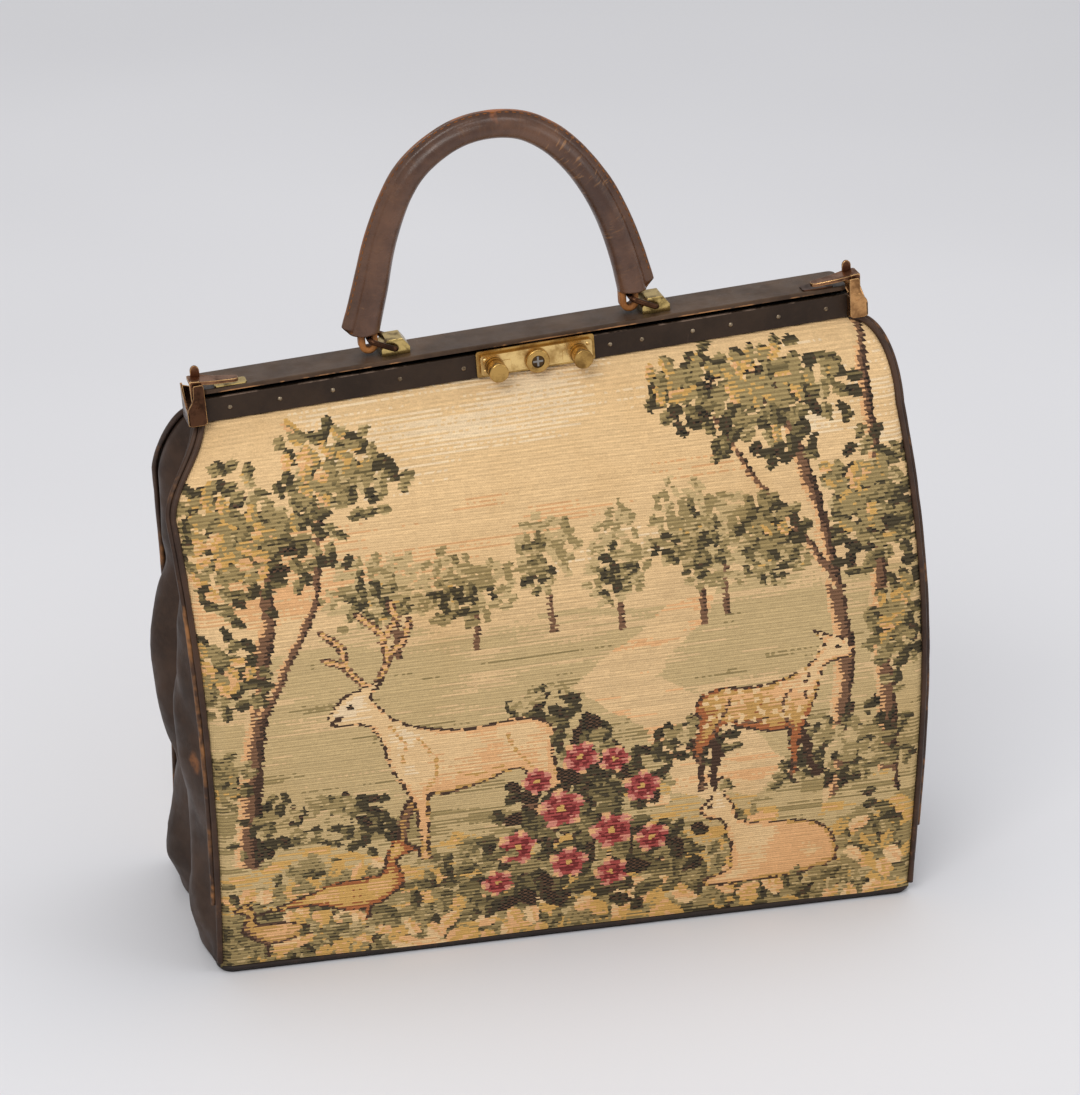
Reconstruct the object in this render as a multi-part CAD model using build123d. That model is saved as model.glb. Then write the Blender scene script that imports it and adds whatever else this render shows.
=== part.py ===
from build123d import *
import os
from math import asin, atan2, cos, hypot, pi, radians, sin, sqrt, tan

# A carpet bag, in millimetres. It stands on its base at the origin, with +X to its right, its front
# towards -Y and +Z up. The soft body leans to the left towards the top, and the frame tilts with it.
# Frame pieces are drawn level, with X along the frame, Y from front to back and Z up from the lower
# edge of the front strip, and are then set into the bag together.

# Soft body
BODY_WIDTH = 415.0  # base, end to end
BODY_DEPTH = 140.0  # base, front to back
BASE_THICKNESS = 3.0
BASE_CORNER_RADIUS = 8.0
BASE_EDGE_RADIUS = 1.0
PANEL_THICKNESS = 3.0
SEAM_GAP = 0.3  # between sewn pieces
BELLY = 4.0  # how far the panels swell at half height
DRAW_IN_POWER = 4.0  # how late the panels turn in towards the frame
LEAN_HEIGHT = 270.0  # where the body has leaned as far as the frame
SHOULDER_DROP = 45.0  # height of the rounded shoulders below the frame's ends
SHOULDER_POWER = 2.3  # how square the shoulders are
WELT_WIDTH = 4.0
WELT_THICKNESS = 3.0
WELT_PROUD = 1.0  # beyond the panel's face
WELT_GAP = 0.15
WELT_TOP_DROP = 6.0  # end of the welts below the frame
GUSSET_THICKNESS = 2.5
GUSSET_TOP_DROP = 14.0  # top of the gussets below the frame
GUSSET_BULGE = 11.0
GUSSET_FOOT_SHARE = 0.2  # how full the bulge already is at the base
FOLD_POWER = 2.0  # how fast the fold deepens with height
FOLD_GAP = 1.5  # between the fold and the pin heads
BOARD_THICKNESS = 2.0
BOARD_TOP = 225.0  # top of the stiffener boards
BOARD_INSET = 14.0  # sides of the stiffener boards from the panel's edges
BASE_BOARD_THICKNESS = 3.0
BASE_BOARD_INSET = 2.0

# Frame
FRAME_TILT = 5.05  # degrees, the left end lower
FRAME_SHIFT = -15.0  # the frame's middle along X
FRAME_HEIGHT = 332.0  # the front strip's lower edge at the frame's middle
JAW_LENGTH = 372.0
JAW_DEPTH = 27.6  # over the two strips
STRIP_HEIGHT = 14.0
STRIP_THICKNESS = 1.6
STRIP_EDGE_RADIUS = 0.6
RAIL_THICKNESS = 2.0
PLATE_DEPTH = 26.0
PLATE_THICKNESS = 2.6
PLATE_GAP = 2.4  # between the front strip and the top plate
PLATE_CORNER_RADIUS = 4.0
PLATE_EDGE_RADIUS = 0.8
NAIL_RADIUS = 1.3
NAIL_HEIGHT = 0.7
NAIL_SHARES = (-0.460, -0.385, -0.305, -0.203, -0.105, 0.122, 0.172, 0.252, 0.312, 0.388, 0.464)

# Side arms and their pins
HINGE_DROP = 70.0  # pins below the strip's lower edge
ARM_WIDTH = 10.0
ARM_THICKNESS = 2.5
ARM_GAP = 0.5
HINGE_EYE_RADIUS = 7.0
ARM_TAPER_SHARE = 0.75  # of the eye's radius
PIN_RADIUS = 2.5
PIN_CLEARANCE = 0.05
PIN_HEAD_RADIUS = 4.5
PIN_HEAD_THICKNESS = 1.2
PIN_HEAD_GAP = 0.3

# Lock
LOCK_SHIFT = 2.0  # the lock's middle along the frame
LOCK_LENGTH = 68.0
LOCK_HEIGHT = 15.5
LOCK_LIFT = 0.3  # above the strip's lower edge
LOCK_PLATE_THICKNESS = 1.2
LOCK_COVER_MARGIN = 2.0
LOCK_COVER_THICKNESS = 2.4
LOCK_CORNER_RADIUS = 1.5
LOCK_RIVET_RADIUS = 1.0
LOCK_RIVET_HEIGHT = 0.5
LOCK_RIVET_INSET = 2.4
KNOB_SPACING = 48.5
KNOB_RISE = 6.6  # of the knobs' and the bolts' middle above the strip's lower edge
KNOB_RADIUS = 5.5
KNOB_WAIST_RADIUS = 4.9
KNOB_LENGTH = 10.5
KNOB_CAP_LENGTH = 2.6
KNOB_FOOT_LENGTH = 1.4
KNOB_EDGE_RADIUS = 0.7
KNOB_NECK_RADIUS = 2.6
KNOB_TENON_RADIUS = 1.3  # riveted through the bolt
KNOB_TRAVEL = 6.0
KNOB_LIFT = 0.4  # off the cover plate
SLOT_CLEARANCE = 0.3
CASE_LENGTH = 62.0
CASE_HEIGHT = 11.6
CASE_DEPTH = 6.7
CASE_WALL = 1.0
BOLT_THICKNESS = 3.0
BOLT_HEIGHT = 4.0
BOLT_SETBACK = 2.2  # behind the rail
BOLT_TAIL = 3.4  # beyond the knob's axis
TONGUE_HALF_WIDTH = 8.0
TONGUE_THICKNESS = 3.0
TONGUE_TIP_GAP = 0.8  # from the rail
TONGUE_NOTCH_DEPTH = 4.0
TONGUE_LEG_THICKNESS = 2.0
TONGUE_FOOT_THICKNESS = 1.4
BOLT_REST_GAP = 2.0  # from the bolt's nose to the tongue
BOLT_CLEARANCE = 0.3
KEY_RING_RADIUS = 6.8
KEY_RING_THICKNESS = 3.0
KEY_RING_EDGE_RADIUS = 0.8
PLUG_RADIUS = 3.6
PLUG_CLEARANCE = 0.08
PLUG_RECESS = 0.6
KEYHOLE_LENGTH = 5.2
KEYHOLE_WIDTH = 1.3
KEYHOLE_DEPTH = 3.0

# End latches
BRACKET_THICKNESS = 1.2
BRACKET_LAP = 1.0  # of the inner flange over the strip's end
BRACKET_REACH = 9.5  # beyond the strip's end
BRACKET_POCKET = 5.2  # between the strip and the bracket's front wall
BRACKET_FRONT_DROP = 2.6  # of the front wall below the strip
BRACKET_FOOT = 0.4  # flanges start above the strip's lower edge
BRACKET_NOTCH_HEIGHT = 12.0
BRACKET_FRONT_HEIGHT = 25.0
BRACKET_FRONT_TOP_WIDTH = 2.6
BRACKET_BACK_HEIGHT = 21.0
BRACKET_BACK = 1.0  # the rear wall's place in front of the frame's middle
BRACKET_REAR_WALL_HEIGHT = 13.0
BRACKET_CORNER_RADIUS = 3.0
LATCH_PIVOT_BEYOND = 3.5  # pivot beyond the strip's end
LATCH_PIVOT_HEIGHT = 14.0
LATCH_PIN_RADIUS = 1.5
LATCH_PIN_CLEARANCE = 0.06
LATCH_PIN_HEAD_RADIUS = 2.2
LATCH_PIN_HEAD_HEIGHT = 0.6
LEVER_THICKNESS = 2.0
LEVER_WIDTH = 9.0
LEVER_BLADE_WIDTH = 5.8
LEVER_BLADE_GAP = 1.7  # between the strip and the blade
LEVER_INNER = 25.0  # inner end of the arm from the pivot
LEVER_CLEARANCE = 2.3  # inner end of the arm over the top plate
LEVER_RISE = 3.2  # outer end of the arm above its inner end
LEVER_TIP_RADIUS = 2.0
THUMB_WIDTH = 7.0
THUMB_HEIGHT = 5.5
THUMB_THICKNESS = 1.5
THUMB_SHIFT = 2.0  # inwards from the pivot
KEEPER_LENGTH = 18.0
KEEPER_DEPTH = 8.0
KEEPER_THICKNESS = 0.8
KEEPER_FROM_END = 17.0
KEEPER_CORNER_RADIUS = 1.5

# Handle
MOUNT_SPACING = 150.0
MOUNT_LENGTH = 16.0
MOUNT_TOP_LENGTH = 9.0
MOUNT_HEIGHT = 9.0
MOUNT_SHOULDER_HEIGHT = 4.0
MOUNT_WIDTH = 15.0
MOUNT_EDGE_RADIUS = 1.2
MOUNT_EYE_HEIGHT = 4.4
WIRE_RADIUS = 1.6
EYE_CLEARANCE = 0.09
RING_REACH = 15.6
RING_SIDE_GAP = 0.4
RING_CORNER_RADIUS = 2.7
RING_LEAN = 26.0  # degrees, above the top plate at rest, pointing left
HANDLE_SPAN = 157.2  # between the sleeve's legs at the rings
HANDLE_RISE = 108.8  # crown of the sleeve's middle above the rings
HANDLE_CROWN_RADIUS = 54.2
SLEEVE_RADIUS = 6.4  # along the crown
SLEEVE_END_RADIUS = 7.6
SLEEVE_WALL = 1.6
SLEEVE_END_RISE = 2.4  # sleeve's level ends above the rings' bars
SLEEVE_WELT_HEIGHT = 3.6
SLEEVE_WELT_THICKNESS = 3.2
SLEEVE_WELT_SLANT = 5.0  # slanting cut at the welt's ends
CORE_GAP = 0.15
CORE_START = 15.0  # core's ends along the legs from the rings
TAB_HALF_LENGTH = 4.3  # of the tab's loop along the frame
TAB_WALL = 2.0
TAB_WIDTH = 7.0
TAB_DROP = 9.0  # loop's lowest point below the ring's bar
TAB_NECK_RISE = 2.2  # loop's top above the ring's bar
TAB_STEM_THICKNESS = 3.6

CUT_OVERRUN = 5.0

# Places along each outline, as shares of its height or width
EDGE_SHARES = (0.0, 0.25, 0.5, 0.75, 1.0)
SHOULDER_SHARES = (0.0, 0.3, 0.55, 0.75, 0.9, 0.97, 1.0)
WELT_SHOULDER_SHARES = (0.0, 0.3, 0.55, 0.75, 1.0)
PROFILE_SHARES = (0.0, 0.15, 0.3, 0.45, 0.6, 0.7, 0.8, 0.9, 1.0)
GUSSET_HEIGHT_SHARES = (0.0, 0.2, 0.4, 0.6, 0.8, 0.9, 1.0)
GUSSET_WIDTH_SHARES = (-1.0, -0.8, -0.6, -0.4, -0.2, 0.0, 0.2, 0.4, 0.6, 0.8, 1.0)
SLOPE_STEP_SHARE = 0.001  # for the slope of a curve
SLAB_REACH_SHARE = 0.6  # of the body, from its middle to each end of a wall before it is trimmed
FOLD_SHARPNESS = 1.5  # how narrow the fold of a gusset is

tilt = radians(FRAME_TILT)
half_jaw = JAW_LENGTH / 2
strip_face = JAW_DEPTH / 2
rail_face = strip_face - STRIP_THICKNESS
rail_back = rail_face - RAIL_THICKNESS
plate_bottom = STRIP_HEIGHT + PLATE_GAP
plate_top = plate_bottom + PLATE_THICKNESS
frame_place = Location((FRAME_SHIFT, 0, FRAME_HEIGHT), (0, -FRAME_TILT, 0))
SIDES = {"left": -1, "right": 1}
parts = {}


def box_between(x_range, y_range, z_range):
    """A block between two places along each axis."""
    sizes = [abs(b - a) for a, b in (x_range, y_range, z_range)]
    middle = [(a + b) / 2 for a, b in (x_range, y_range, z_range)]
    return Pos(*middle) * Box(*sizes)


def rod_along_y(x, z, radius, y_range):
    """A round bar from front to back."""
    length = abs(y_range[1] - y_range[0])
    middle = (y_range[0] + y_range[1]) / 2
    return Pos(x, middle, z) * Rot(90, 0, 0) * Cylinder(radius, length)


def rod_along_x(y, z, radius, x_range):
    """A round bar along the frame."""
    length = abs(x_range[1] - x_range[0])
    middle = (x_range[0] + x_range[1]) / 2
    return Pos(middle, y, z) * Rot(0, 90, 0) * Cylinder(radius, length)


def upright_plate(outline, y_range):
    """A plate seen from the front: outline gives its X and Z, y_range its two faces."""
    face = make_face(Polyline(*[(x, y_range[0], z) for x, z in outline], close=True))
    return extrude(face, amount=abs(y_range[1] - y_range[0]), dir=(0, y_range[1] - y_range[0], 0))


def dome(radius, height):
    """A flat-backed button with its back at the origin, standing up along Z."""
    ball = (radius**2 + height**2) / (2 * height)
    cap = Pos(0, 0, height - ball) * Sphere(ball)
    return cap & (Pos(0, 0, height / 2) * Box(2 * radius, 2 * radius, height))


# Shape of the soft body


def lean(z):
    """Middle of the body along X at a height."""
    return FRAME_SHIFT * (z / LEAN_HEIGHT) ** 2


def top_height(x):
    """Upper edge of the panels, just under the tilted frame."""
    return FRAME_HEIGHT + (x - FRAME_SHIFT) * tan(tilt) - SEAM_GAP / cos(tilt)


def frame_end(side):
    """Where a panel's upper edge meets the frame's end."""
    x = FRAME_SHIFT + side * half_jaw * cos(tilt)
    return x, top_height(x)


def edge_x(z, side, beyond=0.0):
    """Side edge of the panels at a height, or a line that lies beyond it."""
    end_x, end_z = frame_end(side)
    shoulder = end_z - SHOULDER_DROP
    straight = lean(min(z, shoulder)) + side * (BODY_WIDTH / 2 + beyond)
    if z <= shoulder:
        return straight
    rise = min((z - shoulder) / SHOULDER_DROP, 1.0)
    inner = end_x + side * beyond
    return inner + (straight - inner) * (1 - rise**SHOULDER_POWER) ** (1 / SHOULDER_POWER)


def half_depth(share):
    """Outer face of the panels from the middle, at a share of their height."""
    swell = BELLY * sin(pi * share)
    return BODY_DEPTH / 2 + swell - (BODY_DEPTH / 2 - strip_face) * share**DRAW_IN_POWER


def wall_normal(share, x):
    """Direction (depth, height) that points out of the panels at a share of their height."""
    out = half_depth(share + SLOPE_STEP_SHARE) - half_depth(share - SLOPE_STEP_SHARE)
    up = 2 * SLOPE_STEP_SHARE * top_height(x)
    length = hypot(out, up)
    return up / length, -out / length


def inner_half_depth(share, x):
    """Inner face of the panels from the middle, with room for a seam."""
    return half_depth(share) - (PANEL_THICKNESS + SEAM_GAP) / wall_normal(share, x)[0]


def profile(x, inset):
    """Points (depth, height) up the panels at a place along X, set in from the outer face."""
    points = []
    for share in PROFILE_SHARES:
        depth, height = wall_normal(share, x)
        points.append((half_depth(share) - inset * depth, share * top_height(x) - inset * height))
    return points


def panel_slab(inset, thickness):
    """A curved wall in the shape of the front panel, wider than the bag."""
    reach = BODY_WIDTH * SLAB_REACH_SHARE
    ends = []
    for x in (-reach, reach):
        outer = [(x, -depth, z) for depth, z in profile(x, inset)]
        inner = [(x, -depth, z) for depth, z in profile(x, inset + thickness)]
        rim = [
            Spline(*outer),
            Line(outer[-1], inner[-1]),
            Spline(*reversed(inner)),
            Line(inner[0], outer[0]),
        ]
        ends.append(Face(Wire(rim)))
    return loft(ends, ruled=True)


def shoulder_points(side, beyond, shares, top):
    """Points up a shoulder, from where it starts to a height."""
    start = frame_end(side)[1] - SHOULDER_DROP
    heights = [start + share * (top - start) for share in shares]
    return [(edge_x(z, side, beyond), 0, z) for z in heights]


def side_points(side, beyond, bottom):
    """Points up a panel's side edge below the shoulder."""
    top = frame_end(side)[1] - SHOULDER_DROP
    heights = [bottom + share * (top - bottom) for share in EDGE_SHARES]
    return [(edge_x(z, side, beyond), 0, z) for z in heights]


def prism(rim):
    """A block through the whole depth of the bag, seen from the front as the closed rim."""
    return extrude(Face(Wire(rim)), amount=BODY_DEPTH, dir=(0, 1, 0), both=True)


def panel_outline():
    """The panels as seen from the front."""
    rim = []
    ends = {}
    for name, side in SIDES.items():
        edge = side_points(side, 0, BASE_THICKNESS)
        shoulder = shoulder_points(side, 0, SHOULDER_SHARES, frame_end(side)[1])
        rim += [Spline(*edge), Spline(*shoulder)]
        ends[name] = (edge[0], shoulder[-1])
    rim += [Line(ends["left"][0], ends["right"][0]), Line(ends["left"][1], ends["right"][1])]
    return prism(Wire(rim).edges())


def board_outline():
    """A stiffener board as seen from the front."""
    bottom = BASE_THICKNESS + BASE_BOARD_THICKNESS
    heights = [bottom + share * (BOARD_TOP - bottom) for share in EDGE_SHARES]
    left = [(edge_x(z, -1, -BOARD_INSET), 0, z) for z in heights]
    right = [(edge_x(z, 1, -BOARD_INSET), 0, z) for z in heights]
    rim = [Spline(*left), Line(left[-1], right[-1]), Spline(*reversed(right)), Line(right[0], left[0])]
    return prism(rim)


def welt_outline(side):
    """The band beside a panel's edge, as seen from the front."""
    top = frame_end(side)[1] - WELT_TOP_DROP
    rims = []
    for beyond in (WELT_GAP, WELT_GAP + WELT_WIDTH):
        edge = side_points(side, beyond, BASE_THICKNESS)
        shoulder = shoulder_points(side, beyond, WELT_SHOULDER_SHARES, top)
        rims.append((edge, shoulder))
    (edge_a, shoulder_a), (edge_b, shoulder_b) = rims
    rim = [
        Spline(*edge_a),
        Spline(*shoulder_a),
        Line(shoulder_a[-1], shoulder_b[-1]),
        Spline(*reversed(shoulder_b)),
        Spline(*reversed(edge_b)),
        Line(edge_b[0], edge_a[0]),
    ]
    return prism(rim)


def fold_depth(z, side):
    """How far a gusset folds in at a height: at the pins it lies just outside their heads."""
    along = half_jaw + PIN_HEAD_GAP + PIN_HEAD_THICKNESS + FOLD_GAP + GUSSET_THICKNESS
    height = (z - FRAME_HEIGHT - side * along * sin(tilt)) / cos(tilt)
    valley = FRAME_SHIFT + side * along * cos(tilt) - height * sin(tilt)
    hinge = FRAME_HEIGHT + side * half_jaw * sin(tilt) - HINGE_DROP * cos(tilt)
    return abs(edge_x(z, side) - valley) * min(1.0, z / hinge) ** FOLD_POWER


def gusset_point(share, z, side, top):
    """A point of a gusset's outer face: share runs from the front edge, -1, to the back edge, 1."""
    edge = edge_x(z, side)
    reach = inner_half_depth(z / top_height(edge), edge)
    fullness = sin(pi * (GUSSET_FOOT_SHARE + (1 - GUSSET_FOOT_SHARE) * z / top))
    bulge = GUSSET_BULGE * fullness * sin(pi * share) ** 2
    fold = fold_depth(z, side) * ((1 + cos(pi * share)) / 2) ** FOLD_SHARPNESS
    return edge + side * (bulge - fold), share * reach


def gusset_section(z, side, top):
    """A level cut through a gusset."""
    outer = []
    inner = []
    for share in GUSSET_WIDTH_SHARES:
        x, y = gusset_point(share, z, side, top)
        before = gusset_point(share - SLOPE_STEP_SHARE, z, side, top)
        after = gusset_point(share + SLOPE_STEP_SHARE, z, side, top)
        run = (after[0] - before[0], after[1] - before[1])
        length = hypot(*run)
        outer.append((x, y, z))
        step = side * GUSSET_THICKNESS / length
        inner.append((x - step * run[1], y + step * run[0], z))
    rim = [Spline(*outer), Line(outer[-1], inner[-1]), Spline(*reversed(inner)), Line(inner[0], outer[0])]
    return Face(Wire(rim))


def make_body():
    """Base, panels, gussets, welts and boards."""
    base = Pos(0, 0, BASE_THICKNESS / 2) * Box(BODY_WIDTH, BODY_DEPTH, BASE_THICKNESS)
    base = fillet(base.edges().filter_by(Axis.Z), BASE_CORNER_RADIUS)
    parts["base_panel"] = fillet(base.faces().sort_by(Axis.Z)[0].edges(), BASE_EDGE_RADIUS)
    board_width = BODY_WIDTH - 2 * (GUSSET_THICKNESS + BASE_BOARD_INSET)
    board_depth = BODY_DEPTH - 2 * (PANEL_THICKNESS + SEAM_GAP)
    board_middle = BASE_THICKNESS + BASE_BOARD_THICKNESS / 2
    parts["base_board"] = Pos(0, 0, board_middle) * Box(board_width, board_depth, BASE_BOARD_THICKNESS)
    parts["front_panel"] = panel_slab(0, PANEL_THICKNESS) & panel_outline()
    parts["front_board"] = panel_slab(PANEL_THICKNESS + SEAM_GAP, BOARD_THICKNESS) & board_outline()
    welt_slab = panel_slab(-WELT_PROUD, WELT_THICKNESS)
    for name, side in SIDES.items():
        parts[f"front_{name}_welt"] = welt_slab & welt_outline(side)
        top = frame_end(side)[1] - GUSSET_TOP_DROP
        heights = [BASE_THICKNESS + share * (top - BASE_THICKNESS) for share in GUSSET_HEIGHT_SHARES]
        parts[f"{name}_gusset"] = loft([gusset_section(z, side, top) for z in heights])
    for front in ("front_panel", "front_board", "front_left_welt", "front_right_welt"):
        parts[front.replace("front", "back")] = mirror(parts[front], Plane.XZ)


# Frame and its arms


def arm(front, outer):
    """A side arm with its eye. front is -1 on the front jaw and 1 on the rear one; outer is its X range."""
    half_eye = HINGE_EYE_RADIUS * ARM_TAPER_SHARE
    under_rail = inner_half_depth(1.0, frame_end(-1)[0])
    outline = [
        (front * rail_face, STRIP_HEIGHT),
        (front * (rail_face - ARM_WIDTH), STRIP_HEIGHT),
        (front * (rail_face - ARM_WIDTH), 0),
        (-front * half_eye, -HINGE_DROP),
        (front * half_eye, -HINGE_DROP),
        (front * under_rail, -SEAM_GAP),
        (front * under_rail, 0),
        (front * rail_face, 0),
    ]
    start = min(outer)
    flat = make_face(Polyline(*[(start, y, z) for y, z in outline], close=True))
    strap = extrude(flat, amount=ARM_THICKNESS, dir=(1, 0, 0))
    return strap + rod_along_x(0, -HINGE_DROP, HINGE_EYE_RADIUS, outer)


def strip_slots(y_range):
    """Cuts through the front strip for the knobs' necks and the key plug."""
    half_width = KNOB_NECK_RADIUS + SLOT_CLEARANCE
    cuts = rod_along_y(LOCK_SHIFT, KNOB_RISE, PLUG_RADIUS + PLUG_CLEARANCE, y_range)
    for side in SIDES.values():
        rest = LOCK_SHIFT + side * KNOB_SPACING / 2
        inner = rest - side * KNOB_TRAVEL
        for x in (rest, inner):
            cuts += rod_along_y(x, KNOB_RISE, half_width, y_range)
        cuts += box_between((rest, inner), y_range, (KNOB_RISE - half_width, KNOB_RISE + half_width))
    return cuts


def strip(front):
    """The leather covered strip on one jaw."""
    bar = box_between((-half_jaw, half_jaw), (front * rail_face, front * strip_face), (0, STRIP_HEIGHT))
    rim = bar.faces().sort_by(Axis.Y)[0 if front < 0 else -1].edges()
    return fillet(rim, STRIP_EDGE_RADIUS)


def nails(front):
    """The row of nail heads on a strip."""
    heads = []
    for share in NAIL_SHARES:
        place = Pos(share * JAW_LENGTH, front * strip_face, STRIP_HEIGHT / 2)
        heads.append(place * Rot(-90 * front, 0, 0) * dome(NAIL_RADIUS, NAIL_HEIGHT))
    return Compound(heads)


def make_jaws():
    """Rails, strips, nails, arms, pins and the top plate."""
    front_outer = half_jaw
    rear_outer = half_jaw - ARM_THICKNESS - ARM_GAP
    pin_inner = rear_outer - ARM_THICKNESS - ARM_GAP
    pin_outer = front_outer + PIN_HEAD_GAP
    cut_range = (-strip_face - CUT_OVERRUN, -rail_back + CUT_OVERRUN)

    front_rail = box_between((-front_outer, front_outer), (-rail_face, -rail_back), (0, STRIP_HEIGHT))
    rear_rail = box_between((-rear_outer, rear_outer), (rail_back, rail_face), (0, plate_bottom))
    for side in SIDES.values():
        front_rail += arm(-1, (side * front_outer, side * (front_outer - ARM_THICKNESS)))
        rear_rail += arm(1, (side * rear_outer, side * (rear_outer - ARM_THICKNESS)))
        bore_range = (side * (pin_inner - CUT_OVERRUN), side * (pin_outer + CUT_OVERRUN))
        front_rail -= rod_along_x(0, -HINGE_DROP, PIN_RADIUS + PIN_CLEARANCE, bore_range)
        rear_rail -= rod_along_x(0, -HINGE_DROP, PIN_RADIUS, bore_range)
    parts["front_jaw_rail"] = front_rail - strip_slots(cut_range)
    parts["rear_jaw_rail"] = rear_rail
    parts["front_strip"] = strip(-1) - strip_slots(cut_range)
    parts["rear_strip"] = strip(1)
    parts["front_nails"] = nails(-1)
    parts["rear_nails"] = nails(1)
    for name, side in SIDES.items():
        shank = rod_along_x(0, -HINGE_DROP, PIN_RADIUS, (side * pin_inner, side * pin_outer))
        head_range = (side * pin_outer, side * (pin_outer + PIN_HEAD_THICKNESS))
        parts[f"{name}_hinge_pin"] = shank + rod_along_x(0, -HINGE_DROP, PIN_HEAD_RADIUS, head_range)

    half_plate = PLATE_DEPTH / 2
    plate = box_between((-half_jaw, half_jaw), (-half_plate, half_plate), (plate_bottom, plate_top))
    plate = fillet(plate.edges().filter_by(Axis.Z), PLATE_CORNER_RADIUS)
    parts["top_plate"] = fillet(plate.faces().sort_by(Axis.Z)[-1].edges(), PLATE_EDGE_RADIUS)


# Lock


def lock_plate(margin, y_range):
    """One of the lock's plates, seen from the front, with its corners rounded."""
    half = LOCK_LENGTH / 2 - margin
    heights = (LOCK_LIFT + margin, LOCK_LIFT + LOCK_HEIGHT - margin)
    plate = box_between((LOCK_SHIFT - half, LOCK_SHIFT + half), y_range, heights)
    plate = fillet(plate.edges().filter_by(Axis.Y), LOCK_CORNER_RADIUS)
    return plate - strip_slots((y_range[0] - CUT_OVERRUN, y_range[1] + CUT_OVERRUN))


def knob(x, foot):
    """A turned knob on the cover plate, with the neck that carries its bolt."""
    waist_end = KNOB_LENGTH - KNOB_CAP_LENGTH
    outline = [
        (0, 0),
        (KNOB_RADIUS, 0),
        (KNOB_RADIUS, KNOB_FOOT_LENGTH),
        (KNOB_WAIST_RADIUS, KNOB_FOOT_LENGTH),
        (KNOB_WAIST_RADIUS, waist_end),
        (KNOB_RADIUS, waist_end),
        (KNOB_RADIUS, KNOB_LENGTH),
        (0, KNOB_LENGTH),
    ]
    half = make_face(Polyline(*[(r, 0, z) for r, z in outline], close=True))
    turned = revolve(half, Axis.Z)
    turned = fillet(turned.edges().sort_by(Axis.Z)[-1], KNOB_EDGE_RADIUS)
    head = Pos(x, foot, KNOB_RISE) * Rot(90, 0, 0) * turned
    bolt_front = -rail_back + BOLT_SETBACK
    neck = rod_along_y(x, KNOB_RISE, KNOB_NECK_RADIUS, (foot, bolt_front))
    tenon = rod_along_y(x, KNOB_RISE, KNOB_TENON_RADIUS, (bolt_front, bolt_front + BOLT_THICKNESS))
    return head + neck + tenon


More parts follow.
